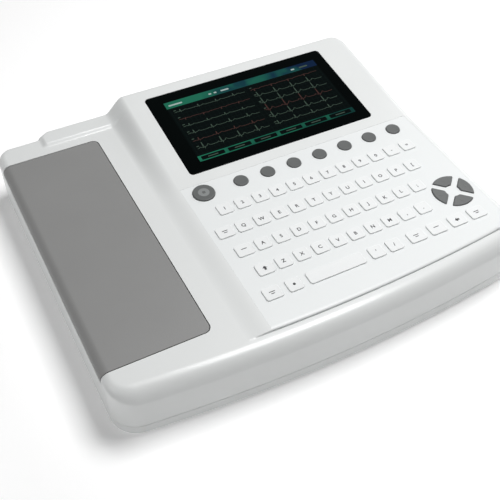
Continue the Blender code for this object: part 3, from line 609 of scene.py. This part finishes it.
for sx, sz, width, tall in BACK_SOCKETS.values():
    hole = block("hole", (sx - width / 2 - GAP, BACK_Y - 8.0, sz - tall / 2 - GAP),
                 (sx + width / 2 + GAP, BACK_Y + 5.0, sz + tall / 2 + GAP), WHITE)
    boolean(case_top, hole, "DIFFERENCE")
hole = turned("hole", [(BACK_Y - 8.0, 2.3), (BACK_Y + 5.0, 2.3)], (STUD_X, 0.0, STUD_Z), "y", WHITE, 24)
boolean(case_top, hole, "DIFFERENCE")
hole = block("hole", (HALF_WIDTH - 8.0, ECG_Y - ECG_HALF - GAP, ECG_Z - ECG_HALF_Z - GAP),
             (HALF_WIDTH + 5.0, ECG_Y + ECG_HALF + GAP, ECG_Z + ECG_HALF_Z + GAP), WHITE)
boolean(case_top, hole, "DIFFERENCE")
soften(case_top, 0.35)
bake(case_top)
bore_hinge(case_top)
even_normals(smooth(case_top, 40.0))
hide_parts("top_shell")
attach(case_top, "casing")

door = casing_block("door_skin", 0.0, PARTING_Z + 0.2, 14, GREY)
boolean(door, casing_block("cut_hollow", WALL, 4.0, 6, GREY), "DIFFERENCE")
prism = loft("prism", [at(door_outline(0.0), DOOR_EDGE_Z), at(door_outline(0.0), 80.0)], GREY)
boolean(door, prism, "INTERSECT")
soften(door, 0.4)
bake(door)
bore_hinge(door)
even_normals(smooth(door, 40.0))
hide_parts("paper_door")
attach(door, "door")

# ---------------------------------------------------------------- lower case

rim = outline()
stages = ((2.2, BASE_BOTTOM), (1.4, BASE_BOTTOM + 0.1), (0.7, BASE_BOTTOM + 0.5),
          (0.2, BASE_BOTTOM + 1.2), (0.0, BASE_BOTTOM + 2.0), (0.0, PARTING_Z - 0.5),
          (0.35, PARTING_Z - 0.1), (WALL, PARTING_Z - 0.1), (WALL, BASE_BOTTOM + WALL))
rings = [[(x - nx * d, y - ny * d, z) for x, y, nx, ny in rim] for d, z in stages]
base = loft("case_base", rings, WHITE)
for bx, by, top in BOSSES:
    profile = [(0.0, 3.3), (4.7, 3.3), (4.7, PILOT_R), (8.0, PILOT_R)]
    hole = turned("hole", profile, (bx, by, 0.0), "z", WHITE, 32)
    boolean(base, hole, "DIFFERENCE")
window = rounded(LID_X0 - GAP, LID_Y0 - GAP, LID_X1 + GAP, LID_Y1 + GAP, LID_R + GAP)
boolean(base, loft("window", [at(window, 0.0), at(window, 9.0)], WHITE), "DIFFERENCE")
for side in (-1, 1):
    for k in range(9):
        x = side * 40.0 - 60.0 + 7.0 * k
        slit = rounded(x, -60.0, x + 2.6, -20.0, 1.25, 3)
        slit_body = loft("slit", [at(slit, 0.0), at(slit, 3.9)], WHITE)
        boolean(base, slit_body, "DIFFERENCE")
even_normals(smooth(base, 40.0))
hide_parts("base_shell")
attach(base, "casing")

cover_loop = rounded(LID_X0, LID_Y0, LID_X1, LID_Y1, LID_R)
cover_edge = rounded(LID_X0 + 0.3, LID_Y0 + 0.3, LID_X1 - 0.3, LID_Y1 - 0.3, LID_R - 0.3)
levels = ((cover_edge, BASE_BOTTOM), (cover_loop, BASE_BOTTOM + 0.3), (cover_loop, BASE_BOTTOM + WALL))
cover_parts = [loft("battery_lid", [at(loop, z) for loop, z in levels], WHITE)]
for k in range(5):
    ridge = rounded(104.0, 47.0 + 3.0 * k, 130.0, 48.4 + 3.0 * k, 0.65, 3)
    cover_parts.append(loft("ridge", [at(ridge, 2.75), at(ridge, 3.2)], WHITE))
cover = smooth(joined("battery_lid", cover_parts), 40.0)
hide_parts("battery_cover")
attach(cover, "casing")

for foot, (fx, fy) in {"front_left": (-165.0, -125.0), "front_right": (165.0, -125.0),
                       "back_left": (-165.0, 140.0), "back_right": (165.0, 140.0)}.items():
    profile = [(0.0, 7.2), (0.15, 7.8), (0.6, 8.3), (1.2, 8.8), (1.9, 9.0), (2.7, 9.0)]
    pad = smooth(turned("foot_pad_" + foot, profile, (fx, fy, 0.0), "z", RUBBER, 48), 50.0)
    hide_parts("foot_" + foot)
    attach(pad, "casing")

# ---------------------------------------------------------------- keypad


def key_list():
    """(x, y, width, legend) of every character key."""
    keys = []
    starts = (-35.0, -29.3, -23.9, -18.0)
    rows = ("1234567890-=", "QWERTYUIOP[", "ASDFGHJKL;", "ZXCVBNM,.")
    for row in range(4):
        for k, letter in enumerate(rows[row]):
            keys.append((starts[row] + KEY_PITCH * k, ROW_Y[row], KEY_W, letter))
    keys += [(-47.7, ROW_Y[1], 16.0, "bar2"), (-42.2, ROW_Y[2], 16.0, "bar1"),
             (-36.3, ROW_Y[3], 16.0, "up")]
    bottom = ((-43.5, 16.0, "bar2"), (-22.7, 14.0, "dot"), (18.5, 56.0, ""), (60.1, 14.0, "'"),
              (78.7, 14.0, "/"), (102.5, 17.0, "bar2"), (124.8, 17.0, "bar1"), (147.6, 17.0, "left"),
              (169.7, 17.0, "bar2"))
    keys += [(x, ROW_Y[4], width, legend) for x, width, legend in bottom]
    return keys


def key_loop(x, y, width, grow, steps=5):
    v = y - BEND_Y
    return rounded(x - width / 2 - grow, v - KEY_D / 2 - grow,
                   x + width / 2 + grow, v + KEY_D / 2 + grow, KEY_R + grow, steps)


def sector(turn, grow, steps=SECTOR_STEPS):
    """One quarter of the direction pad, with sharp corners."""
    gap = DPAD_HALF_GAP - grow
    outer = DPAD_R + grow
    inner = DPAD_INNER_R - grow
    reach = math.pi / 4 - math.asin(gap / outer)
    short = math.pi / 4 - math.asin(gap / inner)
    points = []
    for k in range(2 * steps + 1):
        angle = turn + reach * (k / steps - 1.0)
        points.append((outer * math.cos(angle), outer * math.sin(angle)))
    for k in range(7):
        angle = turn + short * (1.0 - k / 3.0)
        points.append((inner * math.cos(angle), inner * math.sin(angle)))
    return points


def eased_sector(turn, grow, radius=1.6):
    """The sector's outline with rounded corners, always with the same number of points."""
    raw = sector(turn, grow)
    corners = (0, 2 * SECTOR_STEPS, 2 * SECTOR_STEPS + 1, 2 * SECTOR_STEPS + 7)
    out = []
    count = len(raw)
    for i, p in enumerate(raw):
        if i not in corners:
            out.append(p)
            continue
        a, b = Vector(raw[i - 1]), Vector(raw[(i + 1) % count])
        here = Vector(p)
        first = here + (a - here).normalized() * min(radius, (a - here).length * 0.9)
        last = here + (b - here).normalized() * min(radius, (b - here).length * 0.9)
        for t in (0.0, 0.25, 0.5, 0.75, 1.0):
            spot = (1 - t) ** 2 * first + 2 * t * (1 - t) * here + t * t * last
            out.append((spot.x, spot.y))
    return out


def moved(loop, dx, dy):
    return [(x + dx, y + dy) for x, y in loop]


ARROWS = (("right", 0.0), ("up", 90.0), ("left", 180.0), ("down", 270.0))
FKEYS = [-4.5 + 28.85 * k for k in range(7)]
CENTRE = (DPAD_X, DPAD_Y - BEND_Y)


def panel_rim(t):
    """The panel's edge; its front end eases down over a few millimetres as t goes from 1 to 0."""
    loop = panel_outline(0.25)
    return [(x, y + 0.55 + PANEL_EASE * t) if i < FRONT_STEPS else (x, y)
            for i, (x, y) in enumerate(loop)]


def lipped_plate(name, outer, holes, w0, drop, lip, mat, place):
    """A plate with an eased front edge (drop) and a small rounded lip round every hole."""
    quarter = [math.radians(a) for a in (90.0, 60.0, 30.0, 0.0)]
    rings = [[outer(1.0 - math.cos(a)) for a in quarter]]
    rings += [[hole(lip * (1.0 - math.cos(a))) for a in quarter] for hole in holes]
    points, triangles = fill(rings[0][0], [r[0] for r in rings[1:]])
    verts = [(p.x, p.y, 0.0) for p in points]
    faces = list(triangles)
    base_loops = []
    start = 0
    for number, ring in enumerate(rings):
        size = len(ring[0])
        previous = list(range(start, start + size))
        start += size
        deep = lip if number else drop
        stages = [(ring[k], -deep * (1.0 - math.sin(quarter[k]))) for k in (1, 2, 3)]
        if number == 0:
            seat = panel_outline(PANEL_SEAT)
            stages += [(ring[3], -PANEL_LIP_DEPTH), (seat, -PANEL_LIP_DEPTH), (seat, w0)]
        else:
            stages.append((ring[3], w0))
        for loop, w in stages:
            first = len(verts)
            verts += [(x, y, w) for x, y in loop]
            now = list(range(first, first + size))
            for i in range(size):
                j = (i + 1) % size
                quad = (previous[i], now[i], now[j], previous[j])
                faces.append(quad if number == 0 else tuple(reversed(quad)))
            previous = now
        base_loops.append(previous)
    below = fill(panel_outline(PANEL_SEAT), [r[3] for r in rings[1:]])[1]
    order = [i for loop in base_loops for i in loop]
    faces += [tuple(order[i] for i in reversed(t)) for t in below if max(t) < len(order)]
    return make(name, verts, faces, mat, place)


panel_holes = [lambda g, k=k: key_loop(k[0], k[1], k[2], GAP + g) for k in key_list()]
panel_holes += [lambda g, x=x: circle(x, FKEY_Y - BEND_Y, FKEY_R + GAP + g, 48) for x in FKEYS]
panel_holes.append(lambda g: circle(BIG_X, FKEY_Y - BEND_Y, BIG_R + GAP + g, 64))
panel_holes += [lambda g, t=t: moved(eased_sector(math.radians(t), GAP + g), *CENTRE) for a, t in ARROWS]
panel = lipped_plate("keypad_panel", panel_rim, panel_holes, -PANEL_T, 1.3, 0.15, PANEL, KEYS)
even_normals(smooth(panel, 50.0))
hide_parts("control_panel")
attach(panel, "casing")


def dome(name, loop, top, edge, mat, place, dish=0.0, low=KEY_FOOT, skirt=0.0):
    """A cap with a rounded edge and a slightly dished top; a thin skirt can close the slot round it."""
    steps = 4
    loops = [at(loop(0.0), low)]
    if skirt:
        loops += [at(loop(0.0), -0.75), at(loop(skirt), -0.7),
                  at(loop(skirt), -0.5), at(loop(0.0), -0.42)]
    for k in range(steps + 1):
        a = math.radians(90.0 * k / steps)
        loops.append(at(loop(-edge * (1.0 - math.cos(a))), top - edge * (1.0 - math.sin(a))))
    loops.append(at(loop(-edge - 0.9), top - dish * 0.6))
    loops.append(at(loop(-edge - 2.0), top - dish))
    return loft(name, loops, mat, place)


def cap_loop(x, y, width, grow):
    """A key's outline; its innermost ring keeps a small corner of its own."""
    if grow > -2.0:
        return key_loop(x, y, width, grow)
    v = y - BEND_Y
    return rounded(x - width / 2 - grow, v - KEY_D / 2 - grow,
                   x + width / 2 + grow, v + KEY_D / 2 + grow, 0.6, 5)


caps = []
for x, y, width, legend in key_list():
    caps.append(dome("cap", lambda g, x=x, y=y, w=width: cap_loop(x, y, w, g),
                     KEY_TOP, 0.55, KEYS_M, KEYS, 0.12, KEY_FOOT, 0.24))
sheet = [(-60.5, -131.0), (183.0, -131.0), (183.0, -111.0), (143.0, -111.0), (143.0, -73.3),
         (148.9, -73.3), (148.9, -62.0), (183.0, -62.0), (183.0, -2.5), (-60.5, -2.5)]
sheet = [(x, y - BEND_Y) for x, y in sheet]
caps.append(plate("web", sheet, (), -4.5, -3.3, KEYS_M, KEYS))
caps = smooth(joined("key_caps", caps), 50.0)
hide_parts("keypad_mat")
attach(caps, "casing")


def letter(text, size, x, v, w, mat):
    """A printed legend, centred, as a thin raised film."""
    curve = bpy.data.curves.new("legend", "FONT")
    curve.body = text
    curve.size = size * MM
    curve.align_x = "CENTER"
    curve.align_y = "CENTER"
    curve.extrude = 0.00002
    curve.offset = 0.00012
    curve.resolution_u = 3
    holder = bpy.data.objects.new("legend", curve)
    bpy.context.scene.collection.objects.link(holder)
    mesh = bpy.data.meshes.new_from_object(holder.evaluated_get(bpy.context.evaluated_depsgraph_get()))
    bpy.data.objects.remove(holder, do_unlink=True)
    spot = KEYS @ Vector((x, v, w))
    mesh.transform(Matrix.Translation(spot * MM) @ Matrix.Rotation(KEY_TILT, 4, "X"))
    obj = bpy.data.objects.new("legend", mesh)
    bpy.context.scene.collection.objects.link(obj)
    mesh.materials.clear()
    mesh.materials.append(mat)
    return obj


def film(name, loop, w, mat, place, thick=0.03):
    return loft(name, [at(loop, w), at(loop, w + thick)], mat, place)


legends = []
MARK_W = KEY_TOP - 0.12
for x, y, width, legend in key_list():
    v = y - BEND_Y
    if legend in ("bar1", "bar2"):
        for k in range(int(legend[3])):
            span = 5.6 - 2.0 * k
            low = v + 0.7 - 2.1 * k
            dash = rounded(x - span / 2, low, x + span / 2, low + 0.8, 0.35, 3)
            legends.append(film("mark", dash, MARK_W, INK, KEYS))
    elif legend in ("up", "left"):
        tip = [(0.0, 2.4), (-2.4, 0.0), (-1.0, 0.0), (-1.0, -2.2), (1.0, -2.2), (1.0, 0.0), (2.4, 0.0)]
        if legend == "left":
            tip = [(-b, a) for a, b in tip]
        legends.append(film("mark", moved(tip, x, v), MARK_W, INK, KEYS))
    elif legend == "dot":
        legends.append(film("mark", circle(x, v, 1.3, 24), MARK_W, INK, KEYS))
    elif legend:
        legends.append(letter(legend, 5.2, x, v, MARK_W + 0.02, INK))
marks = joined("key_legends", legends)
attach(marks, "casing")


def button(name, loop, top, edge, mat, extra=()):
    cap = dome(name, loop, top, edge, mat, KEYS, 0.12, CAP_FOOT)
    flange = loft(name + "_flange", [at(loop(1.2), CAP_FOOT), at(loop(1.2), KEY_FOOT)], mat, KEYS)
    return smooth(joined(name + "_cap", [cap, flange, *extra]), 50.0)


V = FKEY_Y - BEND_Y
ring = [film("ring", circle(BIG_X, V, 5.4, 64), 1.3, BUTTON_TOP, KEYS, 0.22)]
icon = rounded(BIG_X - 1.5, V - 1.6, BIG_X + 1.5, V + 1.6, 0.5, 4)
ring.append(film("icon", icon, 1.5, BUTTON, KEYS, 0.04))
big = button("power_print_button", lambda g: circle(BIG_X, V, BIG_R + g, 64), 1.5, 0.6, BUTTON, ring)
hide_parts("power_print_button")
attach(big, "power_print_button_body")
for k, x in enumerate(FKEYS):
    f = button("f_key_%d" % (k + 1), lambda g, x=x: circle(x, V, FKEY_R + g, 56), 1.2, 0.6, BUTTON)
    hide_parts("f_key_%d" % (k + 1))
    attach(f, "f_key_%d_body" % (k + 1))
for name, t in ARROWS:
    angle = math.radians(t)
    tip = [(2.0, 0.0), (-1.2, 2.3), (-1.2, -2.3)]
    tip = [(a * math.cos(angle) - b * math.sin(angle) + ARROW_X * math.cos(angle),
            a * math.sin(angle) + b * math.cos(angle) + ARROW_X * math.sin(angle)) for a, b in tip]
    pointer = [film("pointer", moved(tip, *CENTRE), 1.18, BUTTON, KEYS, 0.12)]
    loops = [at(moved(eased_sector(angle, g), *CENTRE), w)
             for g, w in ((0.0, CAP_FOOT), (0.0, 0.8), (-0.15, 1.05), (-0.4, 1.22),
                          (-0.8, 1.3), (-1.6, 1.2))]
    cap = loft("pad", loops, BUTTON, KEYS)
    wide = moved(sector(angle, 0.8), *CENTRE)
    flange = loft("flange", [at(wide, CAP_FOOT), at(wide, KEY_FOOT)], BUTTON, KEYS)
    pad = smooth(joined("arrow_cap_" + name, [cap, flange, *pointer]), 50.0)
    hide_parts("arrow_" + name)
    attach(pad, "arrow_%s_body" % name)

# ---------------------------------------------------------------- screen


def glass_loop(grow):
    return rounded(GLASS_X0 - grow, GLASS_Y0 - BEND_Y - grow, GLASS_X1 + grow, GLASS_Y1 - BEND_Y + grow,
                   GLASS_R + grow, 8)


levels = ((0.0, -3.0), (0.0, -0.35), (-0.1, -0.12), (-0.35, 0.0), (-1.2, 0.0))
pane = loft("screen_pane", [at(glass_loop(grow), w) for grow, w in levels], GLASS, SCREEN)
even_normals(smooth(pane, 50.0))
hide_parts("display_glass")
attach(pane, "casing")

LIT = glow("m_lit", (0.002, 0.004, 0.004), 0.5)
TRACE_GREEN = glow("m_trace_green", (0.13, 0.20, 0.15), 0.42)
TRACE_RED = glow("m_trace_red", (0.16, 0.07, 0.06), 0.42)
GRID = glow("m_grid", (0.012, 0.03, 0.025), 0.3)
WHITE_DOT = glow("m_white_dot", (0.5, 0.62, 0.6), 0.7)


def bar_material(name, bright, dim):
    """A lit bar that is brightest at its left end."""
    made = glow(name, bright, 1.0)
    nodes, links = made.node_tree.nodes, made.node_tree.links
    shader = nodes["Principled BSDF"]
    coords = nodes.new("ShaderNodeTexCoord")
    split = nodes.new("ShaderNodeSeparateXYZ")
    span = nodes.new("ShaderNodeMapRange")
    span.inputs["From Min"].default_value = UI_X0 * MM
    span.inputs["From Max"].default_value = UI_X1 * MM
    ramp = nodes.new("ShaderNodeValToRGB")
    ramp.color_ramp.elements[0].color = (*bright, 1.0)
    ramp.color_ramp.elements[1].color = (*dim, 1.0)
    links.new(coords.outputs["Object"], split.inputs["Vector"])
    links.new(split.outputs["X"], span.inputs["Value"])
    patches = nodes.new("ShaderNodeTexNoise")
    patches.inputs["Scale"].default_value = 55.0
    patches.inputs["Detail"].default_value = 1.0
    uneven = nodes.new("ShaderNodeMapRange")
    uneven.inputs["From Min"].default_value = 0.35
    uneven.inputs["From Max"].default_value = 0.65
    uneven.inputs["To Min"].default_value = -0.30
    uneven.inputs["To Max"].default_value = 0.30
    total = nodes.new("ShaderNodeMath")
    total.operation = "ADD"
    links.new(coords.outputs["Object"], patches.inputs["Vector"])
    links.new(patches.outputs["Fac"], uneven.inputs["Value"])
    links.new(span.outputs["Result"], total.inputs[0])
    links.new(uneven.outputs["Result"], total.inputs[1])
    links.new(total.outputs["Value"], ramp.inputs["Fac"])
    links.new(ramp.outputs["Color"], shader.inputs["Emission Color"])
    return made


BAR_TOP = bar_material("m_bar_top", (0.014, 0.135, 0.080), (0.004, 0.014, 0.045))
BAR_LOW = bar_material("m_bar_low", (0.014, 0.150, 0.085), (0.004, 0.035, 0.030))


def ui(x0, y0, x1, y1, w, mat, radius=0.4):
    return film("ui", rounded(x0, y0 - BEND_Y, x1, y1 - BEND_Y, radius, 2), w, mat, SCREEN, 0.015)


def beat(t):
    """One heart beat; t runs from 0 to 1."""
    waves = ((0.16, 0.030, 0.14), (0.30, 0.011, -0.12), (0.335, 0.012, 1.0),
             (0.37, 0.012, -0.28), (0.60, 0.048, 0.27))
    return sum(h * math.exp(-((t - c) / s) ** 2 / 2.0) for c, s, h in waves)


def ribbon(name, points, width, w, mat):
    """A thin lit line through points of the screen plane."""
    verts = []
    for i, (x, y) in enumerate(points):
        a = Vector(points[max(0, i - 1)])
        b = Vector(points[min(len(points) - 1, i + 1)])
        along = (b - a).normalized()
        side = Vector((-along.y, along.x)) * width / 2
        verts.append((x + side.x, y - BEND_Y + side.y, w))
        verts.append((x - side.x, y - BEND_Y - side.y, w))
    faces = [(2 * i, 2 * i + 1, 2 * i + 3, 2 * i + 2) for i in range(len(points) - 1)]
    return make(name, verts, faces, mat, SCREEN)


picture = [ui(UI_X0, UI_Y0, UI_X1, UI_Y1, 0.005, LIT)]
picture.append(ui(UI_X0, UI_Y1 - 9.5, UI_X1, UI_Y1, 0.025, BAR_TOP))
picture.append(ui(UI_X0, UI_Y0, UI_X1, UI_Y0 + 7.5, 0.025, BAR_LOW))
for k in range(36):
    x = UI_X0 + 2.0 + 173.0 * k / 35
    picture.append(ui(x, UI_Y0 + 8.5, x + 0.22, UI_Y1 - 10.5, 0.022, GRID, 0.05))
for k in range(15):
    y = UI_Y0 + 9.0 + 69.0 * k / 14
    picture.append(ui(UI_X0 + 2.0, y, UI_X1 - 2.0, y + 0.22, 0.022, GRID, 0.05))
for x, span, mat in ((-25.0, 15.0, WHITE_DOT), (20.0, 3.0, WHITE_DOT), (26.0, 3.0, WHITE_DOT),
                     (34.0, 9.0, WHITE_DOT), (118.0, 4.0, WHITE_DOT), (128.0, 10.0, TRACE_GREEN)):
    picture.append(ui(x, UI_Y1 - 6.4, x + span, UI_Y1 - 4.4, 0.045, mat))
for k in range(6):
    x = UI_X0 + 3.0 + 29.0 * k
    picture.append(ui(x, UI_Y0 + 1.3, x + 25.0, UI_Y0 + 6.2, 0.045, LIT, 0.8))
    picture.append(ui(x + 7.0, UI_Y0 + 3.2, x + 18.0, UI_Y0 + 4.3, 0.065, TRACE_GREEN, 0.3))
sizes = ((0.7, -0.5, 0.6, 0.9, 0.8, 1.6), (-0.6, 1.3, 1.7, 1.9, 1.6, 1.0))
for column in range(2):
    for row in range(6):
        x0 = UI_X0 + 5.0 + 86.5 * column
        y0 = UI_Y1 - 17.0 - 11.0 * row
        points = []
        for k in range(281):
            t = k / 280.0
            wave = 5.2 * sizes[column][row] * beat((t * 4.0 + 0.13 * column) % 1.0)
            points.append((x0 + 80.0 * t, y0 + wave + 0.25 * math.sin(9.0 * t + row)))
        mat = TRACE_RED if (row + column) % 3 == 1 else TRACE_GREEN
        picture.append(ribbon("trace", points, 0.55, 0.05, mat))
        picture.append(ui(x0, y0 + 2.4, x0 + 2.6, y0 + 3.3, 0.05, TRACE_GREEN, 0.2))
picture = joined("screen_picture", picture)
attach(picture, "casing")

# ---------------------------------------------------------------- CAD nodes that are shown as they are

LOOKS = {
    "steel": STEEL, "aluminium": ALUMINIUM, "brass": BRASS, "paper_white": PAPER, "board_green": BOARD,
    "battery_blue": BATTERY, "plastic_black": BLACK, "rubber_black": RUBBER, "socket_grey": SOCKET,
    "button_grey": BUTTON, "casing_white": WHITE,
}


def wound_paper():
    """Paper whose roll shows its turns as rings round the spindle."""
    made = plastic("m_wound_paper", (0.86, 0.84, 0.81), 0.85, (2500.0, 0.4), 0.05, 0.03)
    nodes, links = made.node_tree.nodes, made.node_tree.links
    coords = nodes.new("ShaderNodeTexCoord")
    centre = nodes.new("ShaderNodeMapping")
    centre.inputs["Location"].default_value = (0.137, 0.0, -0.0285)
    turns = nodes.new("ShaderNodeTexWave")
    turns.wave_type = "RINGS"
    turns.rings_direction = "Y"
    turns.inputs["Scale"].default_value = 330.0
    turns.inputs["Distortion"].default_value = 0.4
    links.new(coords.outputs["Object"], centre.inputs["Vector"])
    links.new(centre.outputs["Vector"], turns.inputs["Vector"])
    bump = [n for n in nodes if n.type == "BUMP"][0]
    links.new(turns.outputs["Fac"], bump.inputs["Height"])
    return made


slots = {s["node"]: s["material_slot"] for s in frame["record"]["subparts"]}
for node, obj in frame["nodes"].items():
    if slots[node] in LOOKS:
        obj.data.materials.clear()
        obj.data.materials.append(LOOKS[slots[node]])
roll = frame["nodes"]["paper_roll"]
roll.data.materials.clear()
roll.data.materials.append(wound_paper())

# ---------------------------------------------------------------- small parts inside and at sockets


def dress(obj, body):
    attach(obj, body)


CERAMIC = plastic("m_ceramic", (0.78, 0.76, 0.70), 0.25, (900.0, 0.1), 0.05, 0.03)
strips = [block("strip", (-181.6, -104.0, 39.2), (-179.4, 104.0, 39.3), CERAMIC),
          block("strip", (-193.6, -104.0, 39.2), (-192.4, 104.0, 39.3), CERAMIC)]
dress(joined("head_strips", strips), "casing")
fins = [block("fin", (-193.0, -106.0 + 7.0 * k, 24.6), (-192.6, -104.6 + 7.0 * k, 35.4), ALUMINIUM)
        for k in range(31)]
dress(joined("heatsink_fins", fins), "casing")

contacts = []
for row, count in ((2.0, 8), (-2.0, 7)):
    for k in range(count):
        y = ECG_Y + (k - (count - 1) / 2.0) * 4.2
        profile = [(HALF_WIDTH - 6.0, 1.0), (HALF_WIDTH - 5.2, 1.0), (HALF_WIDTH - 5.0, 0.7)]
        contacts.append(turned("contact", profile, (0.0, y, ECG_Z + row), "x", BRASS, 20))
dress(joined("ecg_contacts", contacts), "casing")
jacks = []
for side in (-1, 1):
    profile = [(HALF_WIDTH - 0.45, 2.7), (HALF_WIDTH - 0.1, 2.6), (HALF_WIDTH - 0.02, 2.3)]
    jacks.append(turned("jack", profile, (0.0, ECG_Y + side * 22.6, ECG_Z), "x", STEEL, 6))
dress(joined("ecg_jacks", jacks), "casing")

corners = ((117.65, 30.4), (118.35, 30.4), (118.35, 33.6), (117.65, 33.6))
mark = loft("rocker_mark", [[(x, BACK_Y - 3.6 + (36.0 - z) * 0.2125 + lift, z) for x, z in corners]
                            for lift in (0.05, -0.06)], KEYS_M)
dress(mark, "rocker")

lan_x = BACK_SOCKETS["lan_port"][0] - 3.5
wires = [block("wire", (lan_x + k - 0.25, BACK_Y - 13.9, 29.0),
               (lan_x + k + 0.25, BACK_Y - 3.0, 30.2), BRASS) for k in range(8)]
dress(joined("lan_contacts", wires), "casing")
usb_x = BACK_SOCKETS["usb_port"][0] - 3.5
leads = [block("lead", (usb_x + 2.33 * k - 0.6, BACK_Y - 12.0, 29.9),
               (usb_x + 2.33 * k + 0.6, BACK_Y - 3.0, 30.35), BRASS) for k in range(4)]
dress(joined("usb_contacts", leads), "casing")
sleeves = []
inlet_x, inlet_z = BACK_SOCKETS["mains_inlet"][:2]
for px, pz in ((-7.0, -1.5), (0.0, 2.5), (7.0, -1.5)):
    sleeves.append(block("sleeve", (inlet_x + px - 1.1, BACK_Y - 17.5, inlet_z + pz - 2.1),
                         (inlet_x + px + 1.1, BACK_Y - 4.9, inlet_z + pz + 2.1), STEEL))
dress(joined("inlet_sleeves", sleeves), "casing")

# ---------------------------------------------------------------- stage, light and camera

floor_mat, nodes, links = new_material("m_floor")
floor_shader = nodes["Principled BSDF"]
floor_shader.inputs["Roughness"].default_value = 0.6
floor_shader.inputs["Emission Color"].default_value = (1.0, 1.0, 1.0, 1.0)
floor_shader.inputs["Emission Strength"].default_value = 0.22
cloud = nodes.new("ShaderNodeTexNoise")
cloud.inputs["Scale"].default_value = 3.0
tone = nodes.new("ShaderNodeValToRGB")
tone.color_ramp.elements[0].color = (0.90, 0.90, 0.90, 1.0)
tone.color_ramp.elements[1].color = (0.93, 0.93, 0.93, 1.0)
links.new(cloud.outputs["Fac"], tone.inputs["Fac"])
links.new(tone.outputs["Color"], floor_shader.inputs["Base Color"])
bowl = ((3000.0, 0.0), (3700.0, 90.0), (4300.0, 380.0), (4600.0, 800.0), (4750.0, 1300.0))
floor_verts = [(radius * math.cos(math.radians(5.0 * k)), radius * math.sin(math.radians(5.0 * k)), z)
               for radius, z in bowl for k in range(72)]
floor_faces = [tuple(range(72))]
for ring in range(len(bowl) - 1):
    for k in range(72):
        a, b = 72 * ring + k, 72 * ring + (k + 1) % 72
        floor_faces.append((b, a, a + 72, b + 72))
floor = smooth(make("floor", floor_verts, floor_faces, floor_mat), 60.0)

world = bpy.data.worlds.new("studio")
bpy.context.scene.world = world
world.use_nodes = True
world.node_tree.nodes["Background"].inputs["Color"].default_value = (1.0, 1.0, 1.0, 1.0)
world.node_tree.nodes["Background"].inputs["Strength"].default_value = 0.03


def lamp(name, spot, target, size, power):
    data = bpy.data.lights.new(name, "AREA")
    data.shape = "RECTANGLE"
    data.size = size[0]
    data.size_y = size[1]
    data.energy = power
    obj = bpy.data.objects.new(name, data)
    bpy.context.scene.collection.objects.link(obj)
    obj.location = spot
    way = Vector(target) - Vector(spot)
    obj.rotation_euler = way.to_track_quat("-Z", "Y").to_euler()
    return obj


lamp("key", (1.2, 0.45, 0.7), (0.05, 0.0, 0.05), (0.6, 0.6), 4.2)
lamp("top", (0.42, 0.02, 1.45), (0.05, 0.0, 0.05), (0.8, 0.6), 20.3)
lamp("fill", (-1.3, -0.2, 0.7), (0.0, 0.0, 0.05), (1.2, 0.8), 3.2)

view = bpy.data.cameras.new("view")
view.sensor_width = 36.0
view.lens = 57.88
camera = bpy.data.objects.new("view", view)
bpy.context.scene.collection.objects.link(camera)
camera.matrix_world = (Matrix.Translation(Vector((-0.26534, -0.48825, 0.57205)))
                       @ Matrix.Rotation(math.radians(-28.44), 4, "Z")
                       @ Matrix.Rotation(math.radians(90.0 - 47.03), 4, "X")
                       @ Matrix.Rotation(math.radians(1.196), 4, "Z"))
bpy.context.scene.camera = camera
bpy.context.scene.view_settings.view_transform = "Standard"
